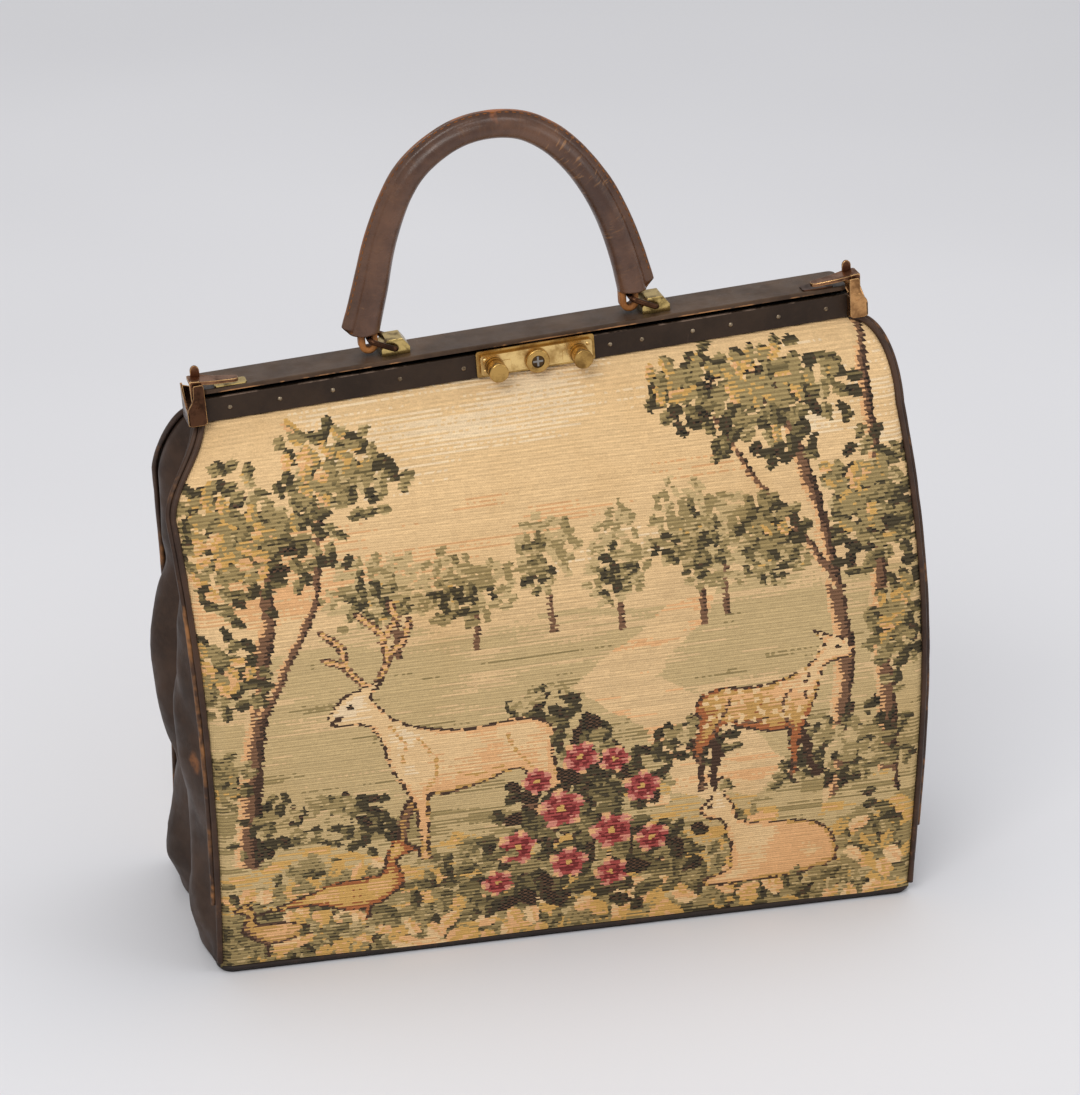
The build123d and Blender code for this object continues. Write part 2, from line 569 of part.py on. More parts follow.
def make_lock():
    """Plates, knobs, bolts, case, key ring, plug, rivets and the tongue that the bolts catch."""
    plate_front = -strip_face - LOCK_PLATE_THICKNESS
    cover_front = plate_front - LOCK_COVER_THICKNESS
    parts["lock_base_plate"] = lock_plate(0, (plate_front, -strip_face))
    parts["lock_cover_plate"] = lock_plate(LOCK_COVER_MARGIN, (cover_front, plate_front))

    rivets = []
    rivet_x = LOCK_LENGTH / 2 - LOCK_COVER_MARGIN - LOCK_RIVET_INSET
    rivet_z = LOCK_HEIGHT / 2 - LOCK_COVER_MARGIN - LOCK_RIVET_INSET
    for x in (-rivet_x, rivet_x):
        for z in (-rivet_z, rivet_z):
            place = Pos(LOCK_SHIFT + x, cover_front, LOCK_LIFT + LOCK_HEIGHT / 2 + z)
            rivets.append(place * Rot(90, 0, 0) * dome(LOCK_RIVET_RADIUS, LOCK_RIVET_HEIGHT))
    parts["lock_rivets"] = Compound(rivets)

    case_range = (-rail_back, -rail_back + CASE_DEPTH)
    half_case = CASE_LENGTH / 2
    case_z = (KNOB_RISE - CASE_HEIGHT / 2, KNOB_RISE + CASE_HEIGHT / 2)
    case = box_between((LOCK_SHIFT - half_case, LOCK_SHIFT + half_case), case_range, case_z)
    half_room = half_case - CASE_WALL
    room_x = (LOCK_SHIFT - half_room, LOCK_SHIFT + half_room)
    room_z = (case_z[0] + CASE_WALL, case_z[1] - CASE_WALL)
    room_range = (case_range[0] - CUT_OVERRUN, case_range[1] + CUT_OVERRUN)
    parts["lock_case"] = case - box_between(room_x, room_range, room_z)

    bolt_range = (-rail_back + BOLT_SETBACK, -rail_back + BOLT_SETBACK + BOLT_THICKNESS)
    bolt_z = (KNOB_RISE - BOLT_HEIGHT / 2, KNOB_RISE + BOLT_HEIGHT / 2)
    for name, side in SIDES.items():
        knob_x = LOCK_SHIFT + side * KNOB_SPACING / 2
        nose = LOCK_SHIFT + side * (TONGUE_HALF_WIDTH + BOLT_REST_GAP)
        bar = box_between((nose, knob_x + side * BOLT_TAIL), bolt_range, bolt_z)
        parts[f"{name}_lock_bolt"] = bar - rod_along_y(knob_x, KNOB_RISE, KNOB_TENON_RADIUS, room_range)
        parts[f"{name}_lock_knob"] = knob(knob_x, cover_front - KNOB_LIFT)

    ring_front = cover_front - KEY_RING_THICKNESS
    ring = rod_along_y(LOCK_SHIFT, KNOB_RISE, KEY_RING_RADIUS, (ring_front, cover_front))
    ring = fillet(ring.edges().sort_by(Axis.Y)[0], KEY_RING_EDGE_RADIUS)
    plug_hole = (ring_front - CUT_OVERRUN, cover_front + CUT_OVERRUN)
    parts["key_ring"] = ring - rod_along_y(LOCK_SHIFT, KNOB_RISE, PLUG_RADIUS + PLUG_CLEARANCE, plug_hole)
    plug_front = ring_front + PLUG_RECESS
    plug = rod_along_y(LOCK_SHIFT, KNOB_RISE, PLUG_RADIUS, (plug_front, -rail_back))
    keyhole_range = (plug_front - CUT_OVERRUN, plug_front + KEYHOLE_DEPTH)
    for length, height in ((KEYHOLE_LENGTH, KEYHOLE_WIDTH), (KEYHOLE_WIDTH, KEYHOLE_LENGTH)):
        plug -= box_between(
            (LOCK_SHIFT - length / 2, LOCK_SHIFT + length / 2),
            keyhole_range,
            (KNOB_RISE - height / 2, KNOB_RISE + height / 2),
        )
    parts["key_plug"] = plug

    tip = -rail_back + TONGUE_TIP_GAP
    leg_front = case_range[1] + TONGUE_LEG_THICKNESS
    leg_back = leg_front + TONGUE_LEG_THICKNESS
    across = (LOCK_SHIFT - TONGUE_HALF_WIDTH, LOCK_SHIFT + TONGUE_HALF_WIDTH)
    tongue_z = (KNOB_RISE - TONGUE_THICKNESS / 2, KNOB_RISE + TONGUE_THICKNESS / 2)
    tongue = box_between(across, (tip, leg_back), tongue_z)
    tongue += box_between(across, (leg_front, leg_back), (tongue_z[0], plate_bottom))
    foot_z = (plate_bottom - TONGUE_FOOT_THICKNESS, plate_bottom)
    tongue += box_between(across, (leg_front, rail_back), foot_z)
    notch_range = (bolt_range[0] - BOLT_CLEARANCE, bolt_range[1] + BOLT_CLEARANCE)
    notch_z = (tongue_z[0] - CUT_OVERRUN, tongue_z[1] + CUT_OVERRUN)
    for side in SIDES.values():
        outer = LOCK_SHIFT + side * (TONGUE_HALF_WIDTH + CUT_OVERRUN)
        inner = LOCK_SHIFT + side * (TONGUE_HALF_WIDTH - TONGUE_NOTCH_DEPTH)
        tongue -= box_between((outer, inner), notch_range, notch_z)
    parts["hasp_tongue"] = tongue


# End latches


def latch_bracket(side):
    """The folded pocket at one end of the front strip."""
    inner = half_jaw - BRACKET_LAP
    outer = half_jaw + BRACKET_REACH
    front = -strip_face - BRACKET_POCKET - BRACKET_THICKNESS
    low = -BRACKET_FRONT_DROP
    front_top = half_jaw + LATCH_PIVOT_BEYOND + LEVER_BLADE_WIDTH / 2
    outline = [
        (side * inner, low),
        (side * outer, low),
        (side * outer, BRACKET_NOTCH_HEIGHT),
        (side * front_top, BRACKET_FRONT_HEIGHT),
        (side * (front_top - BRACKET_FRONT_TOP_WIDTH), BRACKET_FRONT_HEIGHT),
        (side * inner, STRIP_HEIGHT),
    ]
    bracket = upright_plate(outline, (front, front + BRACKET_THICKNESS))
    bottom_corners = bracket.edges().filter_by(Axis.Y).sort_by(Axis.Z)[:2]
    bracket = fillet(bottom_corners, BRACKET_CORNER_RADIUS)

    foot = BRACKET_FOOT
    flange_x = (side * inner, side * (inner + BRACKET_THICKNESS))
    bracket += box_between(flange_x, (front, -strip_face), (foot, STRIP_HEIGHT))
    wall = [
        (front, foot),
        (-BRACKET_BACK, foot),
        (-BRACKET_BACK, BRACKET_BACK_HEIGHT),
        (front, BRACKET_NOTCH_HEIGHT),
    ]
    flat = make_face(Polyline(*[(side * outer, y, z) for y, z in wall], close=True))
    bracket += extrude(flat, amount=BRACKET_THICKNESS, dir=(-side, 0, 0))
    rear_y = (-BRACKET_BACK - BRACKET_THICKNESS, -BRACKET_BACK)
    bracket += box_between((side * half_jaw, side * outer), rear_y, (foot, BRACKET_REAR_WALL_HEIGHT))
    tab_x = (side * half_jaw, side * (half_jaw + BRACKET_THICKNESS))
    bracket += box_between(tab_x, (-rail_face, -BRACKET_BACK), (foot, BRACKET_REAR_WALL_HEIGHT))
    pivot = side * (half_jaw + LATCH_PIVOT_BEYOND)
    hole_range = (front - CUT_OVERRUN, front + BRACKET_THICKNESS + CUT_OVERRUN / 2)
    return bracket - rod_along_y(pivot, LATCH_PIVOT_HEIGHT, LATCH_PIN_RADIUS, hole_range)


def latch_pin(side):
    """The pivot pin of a lever, from the bracket's front wall to the strip."""
    pivot = side * (half_jaw + LATCH_PIVOT_BEYOND)
    front = -strip_face - BRACKET_POCKET - BRACKET_THICKNESS
    shank = rod_along_y(pivot, LATCH_PIVOT_HEIGHT, LATCH_PIN_RADIUS, (front, -strip_face))
    head = dome(LATCH_PIN_HEAD_RADIUS, LATCH_PIN_HEAD_HEIGHT)
    return shank + Pos(pivot, front, LATCH_PIVOT_HEIGHT) * Rot(90, 0, 0) * head


def latch_lever(side):
    """Blade in the bracket's pocket, arm over the top plate and thumb tab."""
    pivot = half_jaw + LATCH_PIVOT_BEYOND
    half_blade = LEVER_BLADE_WIDTH / 2
    blade_back = -strip_face - LEVER_BLADE_GAP
    blade_range = (blade_back - LEVER_THICKNESS, blade_back)
    inner_low = plate_top + LEVER_CLEARANCE
    outer_low = inner_low + LEVER_RISE
    outer_end = pivot + half_blade
    blade_z = (LATCH_PIVOT_HEIGHT, outer_low + LEVER_THICKNESS)
    blade = box_between((side * (pivot - half_blade), side * outer_end), blade_range, blade_z)
    blade += rod_along_y(side * pivot, LATCH_PIVOT_HEIGHT, half_blade, blade_range)
    profile_points = [
        (side * outer_end, outer_low),
        (side * outer_end, outer_low + LEVER_THICKNESS),
        (side * (pivot - LEVER_INNER), inner_low + LEVER_THICKNESS),
        (side * (pivot - LEVER_INNER), inner_low),
    ]
    arm_range = (blade_back - LEVER_THICKNESS, blade_back + LEVER_WIDTH)
    bar = upright_plate(profile_points, arm_range)
    tip_limit = pivot - LEVER_INNER + LEVER_THICKNESS
    tip_edges = bar.edges().filter_by(lambda edge: abs(edge.center().X) < tip_limit)
    upright = [edge for edge in tip_edges if abs((edge @ 1 - edge @ 0).Z) > LEVER_THICKNESS / 2]
    bar = fillet(upright, LEVER_TIP_RADIUS)
    thumb_x = side * (pivot - THUMB_SHIFT)
    thumb_range = (arm_range[1] - THUMB_THICKNESS, arm_range[1])
    thumb_top = outer_low + LEVER_THICKNESS + THUMB_HEIGHT - THUMB_WIDTH / 2
    thumb = rod_along_y(thumb_x, thumb_top, THUMB_WIDTH / 2, thumb_range)
    half_thumb = THUMB_WIDTH / 2
    thumb += box_between((thumb_x - half_thumb, thumb_x + half_thumb), thumb_range, (outer_low, thumb_top))
    bore = LATCH_PIN_RADIUS + LATCH_PIN_CLEARANCE
    bore_range = (blade_range[0] - CUT_OVERRUN, blade_range[1] + CUT_OVERRUN)
    return blade + bar + thumb - rod_along_y(side * pivot, LATCH_PIVOT_HEIGHT, bore, bore_range)


def keeper_plate(side):
    """The plate that a lever's arm lies over."""
    outer = half_jaw - KEEPER_FROM_END + KEEPER_LENGTH / 2
    front = -PLATE_DEPTH / 2 + PLATE_EDGE_RADIUS
    plate = box_between(
        (side * (outer - KEEPER_LENGTH), side * outer),
        (front, front + KEEPER_DEPTH),
        (plate_top, plate_top + KEEPER_THICKNESS),
    )
    return fillet(plate.edges().filter_by(Axis.Z), KEEPER_CORNER_RADIUS)


def make_latches():
    """Both end latches."""
    for name, side in SIDES.items():
        parts[f"{name}_latch_bracket"] = latch_bracket(side)
        parts[f"{name}_latch_pin"] = latch_pin(side)
        parts[f"{name}_latch_lever"] = latch_lever(side)
        parts[f"{name}_keeper_plate"] = keeper_plate(side)


# Handle


def handle_mount(x):
    """A cast saddle on the top plate with an eye for the ring."""
    half_base = MOUNT_LENGTH / 2
    half_top = MOUNT_TOP_LENGTH / 2
    outline = [
        (x - half_base, plate_top),
        (x + half_base, plate_top),
        (x + half_base, plate_top + MOUNT_SHOULDER_HEIGHT),
        (x + half_top, plate_top + MOUNT_HEIGHT),
        (x - half_top, plate_top + MOUNT_HEIGHT),
        (x - half_base, plate_top + MOUNT_SHOULDER_HEIGHT),
    ]
    half_width = MOUNT_WIDTH / 2
    saddle = upright_plate(outline, (-half_width, half_width))
    saddle = fillet(saddle.faces().sort_by(Axis.Z)[-1].edges(), MOUNT_EDGE_RADIUS)
    eye_range = (-half_width - CUT_OVERRUN, half_width + CUT_OVERRUN)
    return saddle - rod_along_y(x, plate_top + MOUNT_EYE_HEIGHT, WIRE_RADIUS + EYE_CLEARANCE, eye_range)


def handle_ring(x):
    """A closed wire ring: one long side turns in the mount's eye, the other carries the handle's tab."""
    width = MOUNT_WIDTH + 2 * (RING_SIDE_GAP + RING_CORNER_RADIUS)
    path = (Pos(RING_REACH / 2, 0, 0) * RectangleRounded(RING_REACH, width, RING_CORNER_RADIUS)).wire()
    start = path @ 0
    section = Plane(origin=start, z_dir=path % 0) * Circle(WIRE_RADIUS)
    ring = sweep(section, path=path)
    return Pos(x, 0, plate_top + MOUNT_EYE_HEIGHT) * Rot(0, 180 + RING_LEAN, 0) * ring


def handle_line():
    """Middle line of the handle: a leg rises from each ring and runs into the round crown. Gives the
    legs' slope and length."""
    crown = HANDLE_RISE - HANDLE_CROWN_RADIUS
    to_crown = hypot(HANDLE_SPAN / 2, crown)
    slope = atan2(crown, HANDLE_SPAN / 2) + asin(HANDLE_CROWN_RADIUS / to_crown)
    return slope, sqrt(to_crown**2 - HANDLE_CROWN_RADIUS**2)


def leg_point(side, along, out):
    """A point beside a leg: along it from the ring's height, and out from its middle line."""
    slope = handle_line()[0]
    x = HANDLE_SPAN / 2 - along * cos(slope) + out * sin(slope)
    return side * x, 0, along * sin(slope) + out * cos(slope)


def crown_arc(out):
    """The crown's arc from the left leg to the right one, out from the middle line."""
    leg = handle_line()[1]
    return ThreePointArc(leg_point(-1, leg, out), (0, 0, HANDLE_RISE + out), leg_point(1, leg, out))


def crown_tube(radius):
    """A round bar along the crown."""
    arc = crown_arc(0)
    return sweep(Plane(origin=arc @ 0, z_dir=arc % 0) * Circle(radius), path=arc)


def leg_tube(side, start, end_radius, knee_radius):
    """A round tapered bar along a leg, from a distance above the ring to the crown."""
    leg = handle_line()[1]
    low = Vector(leg_point(side, start, 0))
    knee = Vector(leg_point(side, leg, 0))
    place = Plane(origin=(low + knee) / 2, z_dir=knee - low)
    length = (knee - low).length
    if end_radius == knee_radius:
        return place * Cylinder(end_radius, length)
    return place * Cone(end_radius, knee_radius, length)


def handle_bar(start, end_radius, knee_radius):
    """A bar along both legs and the crown."""
    bar = crown_tube(knee_radius)
    for side in SIDES.values():
        bar += leg_tube(side, start, end_radius, knee_radius)
    return bar


def sleeve_welt():
    """The flat stitched seam along the outside of the sleeve."""
    leg = handle_line()[1]
    end_out = SLEEVE_END_RADIUS + SLEEVE_WELT_HEIGHT
    knee_out = SLEEVE_RADIUS + SLEEVE_WELT_HEIGHT
    rim = [crown_arc(knee_out), crown_arc(0)]
    for side in SIDES.values():
        foot = leg_point(side, 0, 0)
        tip = leg_point(side, SLEEVE_WELT_SLANT, end_out)
        rim += [
            Line(leg_point(side, leg, 0), foot),
            Line(foot, tip),
            Line(tip, leg_point(side, leg, knee_out)),
        ]
    half = SLEEVE_WELT_THICKNESS / 2
    return extrude(Face(Wire(Wire(rim).edges())), amount=half, dir=(0, 1, 0), both=True)


def handle_sleeve():
    """The rolled leather sleeve with its seam, hollow and cut level at both ends."""
    sleeve = handle_bar(0, SLEEVE_END_RADIUS, SLEEVE_RADIUS) + sleeve_welt()
    sleeve -= handle_bar(-CUT_OVERRUN, SLEEVE_END_RADIUS - SLEEVE_WALL, SLEEVE_RADIUS - SLEEVE_WALL)
    return sleeve - box_between(
        (-HANDLE_SPAN, HANDLE_SPAN),
        (-HANDLE_SPAN, HANDLE_SPAN),
        (-HANDLE_SPAN, SLEEVE_END_RISE),
    )


def handle_tab(x):
    """A leather loop around a ring's bar, with the stem that runs up into the sleeve."""
    half_width = TAB_WIDTH / 2
    width_range = (-half_width, half_width)
    low = TAB_HALF_LENGTH - TAB_DROP
    loop = rod_along_y(x, low, TAB_HALF_LENGTH, width_range)
    loop += box_between((x - TAB_HALF_LENGTH, x + TAB_HALF_LENGTH), width_range, (low, TAB_NECK_RISE))
    half_stem = TAB_STEM_THICKNESS / 2
    loop += box_between((x - half_stem, x + half_stem), width_range, (0, CORE_START - half_stem))
    room = TAB_HALF_LENGTH - TAB_WALL
    eye = WIRE_RADIUS + EYE_CLEARANCE
    cut_range = (-half_width - CUT_OVERRUN, half_width + CUT_OVERRUN)
    loop -= rod_along_y(x, low, room, cut_range)
    loop -= box_between((x - room, x + room), cut_range, (low, 0))
    return loop - rod_along_y(x, 0, eye, cut_range)


def make_handle():
    """Mounts, rings, tabs, core and sleeve."""
    lean_angle = radians(RING_LEAN)
    ring_height = plate_top + MOUNT_EYE_HEIGHT + RING_REACH * sin(lean_angle)
    middle = Pos(-RING_REACH * cos(lean_angle), 0, ring_height)
    core_radius = SLEEVE_RADIUS - SLEEVE_WALL - CORE_GAP
    parts["handle_sleeve"] = middle * handle_sleeve()
    parts["handle_core"] = middle * handle_bar(CORE_START, core_radius, core_radius)
    for name, side in SIDES.items():
        x = side * MOUNT_SPACING / 2
        parts[f"{name}_handle_mount"] = handle_mount(x)
        parts[f"{name}_handle_ring"] = handle_ring(x)
        parts[f"{name}_handle_tab"] = middle * handle_tab(x)


make_body()
body_names = list(parts)
make_jaws()
make_lock()
make_latches()
make_handle()
for node in parts:
    if node not in body_names:
        parts[node] = frame_place * parts[node]

os.makedirs("parts", exist_ok=True)
for node, shape in parts.items():
    export_step(shape, f"parts/{node}.step")
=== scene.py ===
from math import asin, atan2, cos, pi, radians, sin

import bmesh
import bpy
import numpy as np
from mathutils import Matrix, Vector


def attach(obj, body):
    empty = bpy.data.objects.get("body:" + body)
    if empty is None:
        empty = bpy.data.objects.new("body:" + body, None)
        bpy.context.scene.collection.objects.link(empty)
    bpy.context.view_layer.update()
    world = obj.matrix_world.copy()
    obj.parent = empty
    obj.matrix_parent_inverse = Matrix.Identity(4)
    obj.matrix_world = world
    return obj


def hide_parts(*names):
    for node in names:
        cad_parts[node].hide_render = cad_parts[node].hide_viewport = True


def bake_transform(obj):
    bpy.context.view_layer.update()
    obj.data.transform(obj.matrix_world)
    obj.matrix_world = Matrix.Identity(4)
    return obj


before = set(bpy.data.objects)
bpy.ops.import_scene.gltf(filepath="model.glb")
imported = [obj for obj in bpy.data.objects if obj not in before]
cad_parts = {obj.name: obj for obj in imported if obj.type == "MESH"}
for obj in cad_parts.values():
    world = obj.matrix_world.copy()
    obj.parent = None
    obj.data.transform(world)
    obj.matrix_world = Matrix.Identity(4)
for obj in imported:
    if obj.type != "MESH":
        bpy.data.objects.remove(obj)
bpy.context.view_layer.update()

# A carpet bag dressed over its solids. Shapes are worked out in millimetres, in the same frame as the
# solids, and turned into metres when a mesh is made.
MM = 0.001
SIDES = {"left": -1, "right": 1}
FAR_AWAY = 1e9

# Soft body, as in the solids
BODY_WIDTH = 415.0
BODY_DEPTH = 140.0
BASE_THICKNESS = 3.0
BASE_CORNER_RADIUS = 8.0
PANEL_THICKNESS = 2.6
BELLY = 4.0
DRAW_IN_POWER = 4.0
LEAN_HEIGHT = 270.0
SHOULDER_DROP = 45.0
SHOULDER_POWER = 2.3
SEAM_GAP = 0.3

# What years of use did to its edges: slack shoulders, a tucked edge and a fuller one
SLACK_SHARE = 0.85
BACK_SLACK_SHARE = 0.25
BACK_TUCK = 4.0
RIGHT_FULLNESS = 5.0
FULL_ABOVE_SHARE = 0.6

# Frame, as in the solids
FRAME_TILT = radians(5.05)
FRAME_SHIFT = -15.0
FRAME_HEIGHT = 332.0
HALF_JAW = 186.0
STRIP_FACE = 13.8
PLATE_TOP = 19.0
PLATE_BOTTOM = 16.4
PLATE_FRONT = 13.0
HINGE_DROP = 70.0


def frame_point(u, v, w):
    """A place on the tilted frame: along it, from front to back, and up from the front strip's lower edge."""
    x = FRAME_SHIFT + u * cos(FRAME_TILT) - w * sin(FRAME_TILT)
    z = FRAME_HEIGHT + u * sin(FRAME_TILT) + w * cos(FRAME_TILT)
    return x, v, z


def in_metres(point):
    return tuple(float(value) * MM for value in point)


def smooth(low, high, value):
    """0 below low, 1 above high and an even turn between."""
    t = np.clip((value - low) / (high - low), 0, 1)
    return t * t * (3 - 2 * t)


def lean(z):
    """Middle of the body along X at a height."""
    return FRAME_SHIFT * (z / LEAN_HEIGHT) ** 2


def top_height(x):
    """Upper edge of the panels."""
    return FRAME_HEIGHT + (x - FRAME_SHIFT) * np.tan(FRAME_TILT) - SEAM_GAP / cos(FRAME_TILT)


def frame_end(side):
    """Where a panel's upper edge meets the frame's end."""
    x = FRAME_SHIFT + side * HALF_JAW * cos(FRAME_TILT)
    return x, top_height(x)


def edge_x(z, side, beyond=0.0, front=0.0):
    """Side edge at a height, or a line beyond it. The share front is 1 at the front panel and 0 at the back
    one: in front the left shoulder falls in a slack S and the right edge is fuller, and behind the left edge
    is tucked in a little."""
    end_x, end_z = frame_end(side)
    shoulder = end_z - SHOULDER_DROP
    straight = lean(np.minimum(z, shoulder)) + side * (BODY_WIDTH / 2 + beyond)
    rise = np.clip((z - shoulder) / SHOULDER_DROP, 0, 1)
    out = (1 - rise**SHOULDER_POWER) ** (1 / SHOULDER_POWER)
    upper = smooth(0, FULL_ABOVE_SHARE, z / end_z)
    if side < 0:
        slack = BACK_SLACK_SHARE + front * (SLACK_SHARE - BACK_SLACK_SHARE)
        out = out + slack * (1 - smooth(0, 1, rise) - out)
        straight = straight + (1 - front) * BACK_TUCK * upper
    else:
        straight = straight + front * RIGHT_FULLNESS * upper
    inner = end_x + side * beyond
    return inner + (straight - inner) * out


def half_depth(share):
    """Outer face of the panels from the middle, at a share of their height."""
    swell = BELLY * np.sin(pi * share)
    return BODY_DEPTH / 2 + swell - (BODY_DEPTH / 2 - STRIP_FACE) * share**DRAW_IN_POWER


# Even noise that is the same in every run
HASH_FACTORS = (374761393, 668265263, 974634541)
HASH_MIXER = 1274126177
HASH_MASK = 0xFFFFFFFF
HASH_TOP = 0xFFFF
LEAF_INSET_SHARE = 0.15
LEAF_SPREAD_SHARE = 0.7
LEAF_SHARES = (1.35, 0.75)  # a leaf's reach along and across it


def scatter(i, j, seed):
    """A number from 0 to 1 for each whole place."""
    i = np.asarray(i).astype(np.int64)
    j = np.asarray(j).astype(np.int64)
    h = (i * HASH_FACTORS[0] + j * HASH_FACTORS[1] + seed * HASH_FACTORS[2]) & HASH_MASK
    h = ((h ^ (h >> 13)) * HASH_MIXER) & HASH_MASK
    return ((h ^ (h >> 16)) & HASH_TOP) / float(HASH_TOP)


def cloud(x, y, seed):
    """Soft noise from 0 to 1 with features about one unit wide."""
    i = np.floor(x)
    j = np.floor(y)
    s = smooth(0, 1, x - i)
    t = smooth(0, 1, y - j)
    low = scatter(i, j, seed) * (1 - s) + scatter(i + 1, j, seed) * s
    high = scatter(i, j + 1, seed) * (1 - s) + scatter(i + 1, j + 1, seed) * s
    return low * (1 - t) + high * t


def clouds(x, y, seed, layers):
    """Soft noise with finer layers on top."""
    total = 0.0
    weight = 0.0
    for layer in range(layers):
        size = 2.0**layer
        total = total + cloud(x * size, y * size, seed + layer) / size
        weight += 1 / size
    return total / weight


def clouds_of(size, x, y, seed, layers):
    """Soft noise with features of a width and a height."""
    return clouds(x / size[0], y / size[1], seed, layers)


def swing(noise):
    """Noise from 0 to 1 as a swing from -1 to 1."""
    return (noise - 0.5) * 2


def leaf_cells(x, y, size, seed):
    """Leaves scattered over a plane. For each point gives its leaf's middle, a number for the leaf and the
    place on the leaf along and across it."""
    gx = np.floor(x / size)
    gy = np.floor(y / size)
    best = np.full(x.shape, FAR_AWAY)
    found = [np.zeros(x.shape) for _ in range(5)]
    for di in (-1, 0, 1):
        for dj in (-1, 0, 1):
            i = gx + di
            j = gy + dj
            cx = (i + LEAF_INSET_SHARE + LEAF_SPREAD_SHARE * scatter(i, j, seed)) * size
            cy = (j + LEAF_INSET_SHARE + LEAF_SPREAD_SHARE * scatter(i, j, seed + 1)) * size
            turn = pi * scatter(i, j, seed + 2)
            along = (x - cx) * np.cos(turn) + (y - cy) * np.sin(turn)
            across = (y - cy) * np.cos(turn) - (x - cx) * np.sin(turn)
            far = (along / LEAF_SHARES[0]) ** 2 + (across / LEAF_SHARES[1]) ** 2
            near = far < best
            best = np.where(near, far, best)
            for store, value in zip(found, (cx, cy, scatter(i, j, seed + 3), along, across)):
                store[near] = value[near]
    return found


# Meshes


def add_object(name, mesh):
    """A new object in the scene."""
    piece = bpy.data.objects.new(name, mesh)
    bpy.context.scene.collection.objects.link(piece)
    return piece


def mesh_piece(name, points, faces, body, materials, face_materials=None):
    """A smooth piece from points in millimetres, set on a body where one is given."""
    mesh = bpy.data.meshes.new(name)
    mesh.from_pydata((np.asarray(points, float) * MM).tolist(), [], faces)
    for material in materials:
        mesh.materials.append(material)
    if face_materials is not None:
        mesh.polygons.foreach_set("material_index", np.asarray(face_materials, np.int32))
    mesh.polygons.foreach_set("use_smooth", np.ones(len(mesh.polygons), bool))
    mesh.update()
    piece = add_object(name, mesh)
    if body:
        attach(piece, body)
    return piece


def grid_faces(rows, columns, start=0, flip=False, closed=False, looped=False):
    """Four-sided faces of a grid of points. A closed grid joins its last column to its first one, a looped
    one its last row to its first one."""
    faces = []
    for i in range(rows if looped else rows - 1):
        here = start + i * columns
        there = start + (i + 1) % rows * columns
        for j in range(columns if closed else columns - 1):
            k = (j + 1) % columns
            face = (here + j, here + k, there + k, there + j)
            faces.append(face[::-1] if flip else face)
    return faces


def rim_places(rows, columns):
    """Places of a grid's outline, once round."""
    bottom = list(range(columns - 1))
    right = [i * columns + columns - 1 for i in range(rows - 1)]
    top = [(rows - 1) * columns + j for j in range(columns - 1, 0, -1)]
    left = [i * columns for i in range(rows - 1, 0, -1)]
    return bottom + right + top + left


def point_layer(piece, values, name="wear"):
    """Stores a number for each point of a piece: how worn it is, or where it lies."""
    layer = piece.data.attributes.new(name, "FLOAT", "POINT")
    layer.data.foreach_set("value", np.asarray(values, np.float32))


def directions(path):
    """Unit directions along a path."""
    runs = np.gradient(path, axis=0)
    return runs / np.linalg.norm(runs, axis=1)[:, None]


def smooth_line(points, steps):
    """Points along an even curve through the given ones."""
    p = np.asarray(points, float)
    p = np.vstack([2 * p[0] - p[1], p, 2 * p[-1] - p[-2]])
    out = []
    for k in range(1, len(p) - 2):
        for step in range(steps):
            t = step / steps
            a = 2 * p[k]
            b = p[k + 1] - p[k - 1]
            c = 2 * p[k - 1] - 5 * p[k] + 4 * p[k + 1] - p[k + 2]
            d = 3 * p[k] - p[k - 1] - 3 * p[k + 1] + p[k + 2]
            out.append((a + b * t + c * t * t + d * t**3) / 2)
    out.append(p[-2])
    return np.array(out)


def add_tube(points, faces, path, radii, sides):
    """Adds a round bar with pointed ends along a path to lists of points and faces."""
    up = np.array([0.0, -1.0, 0.0])
    angles = np.linspace(0, 2 * pi, sides, endpoint=False)
    start = len(points)
    for point, radius, run in zip(path, radii, directions(path)):
        side_dir = np.cross(run, up)
        side_dir /= np.linalg.norm(side_dir)
        rise_dir = np.cross(side_dir, run)
        ring = point + radius * (np.cos(angles)[:, None] * side_dir + np.sin(angles)[:, None] * rise_dir)
        points += ring.tolist()
    faces += grid_faces(len(path), sides, start, closed=True)
    first = len(points)
    points += [list(path[0]), list(path[-1])]
    last_ring = start + (len(path) - 1) * sides
    for j in range(sides):
        k = (j + 1) % sides
        faces.append((first, start + k, start + j))
        faces.append((first + 1, last_ring + j, last_ring + k))


# Materials
AO_SAMPLES = 8


def rgb(red, green, blue):
    """A colour given in the 0 to 255 steps of a screen, as light."""
    out = []
    for value in (red, green, blue):
        share = value / 255
        out.append(share / 12.92 if share <= 0.04045 else ((share + 0.055) / 1.055) ** 2.4)
    return (*out, 1.0)


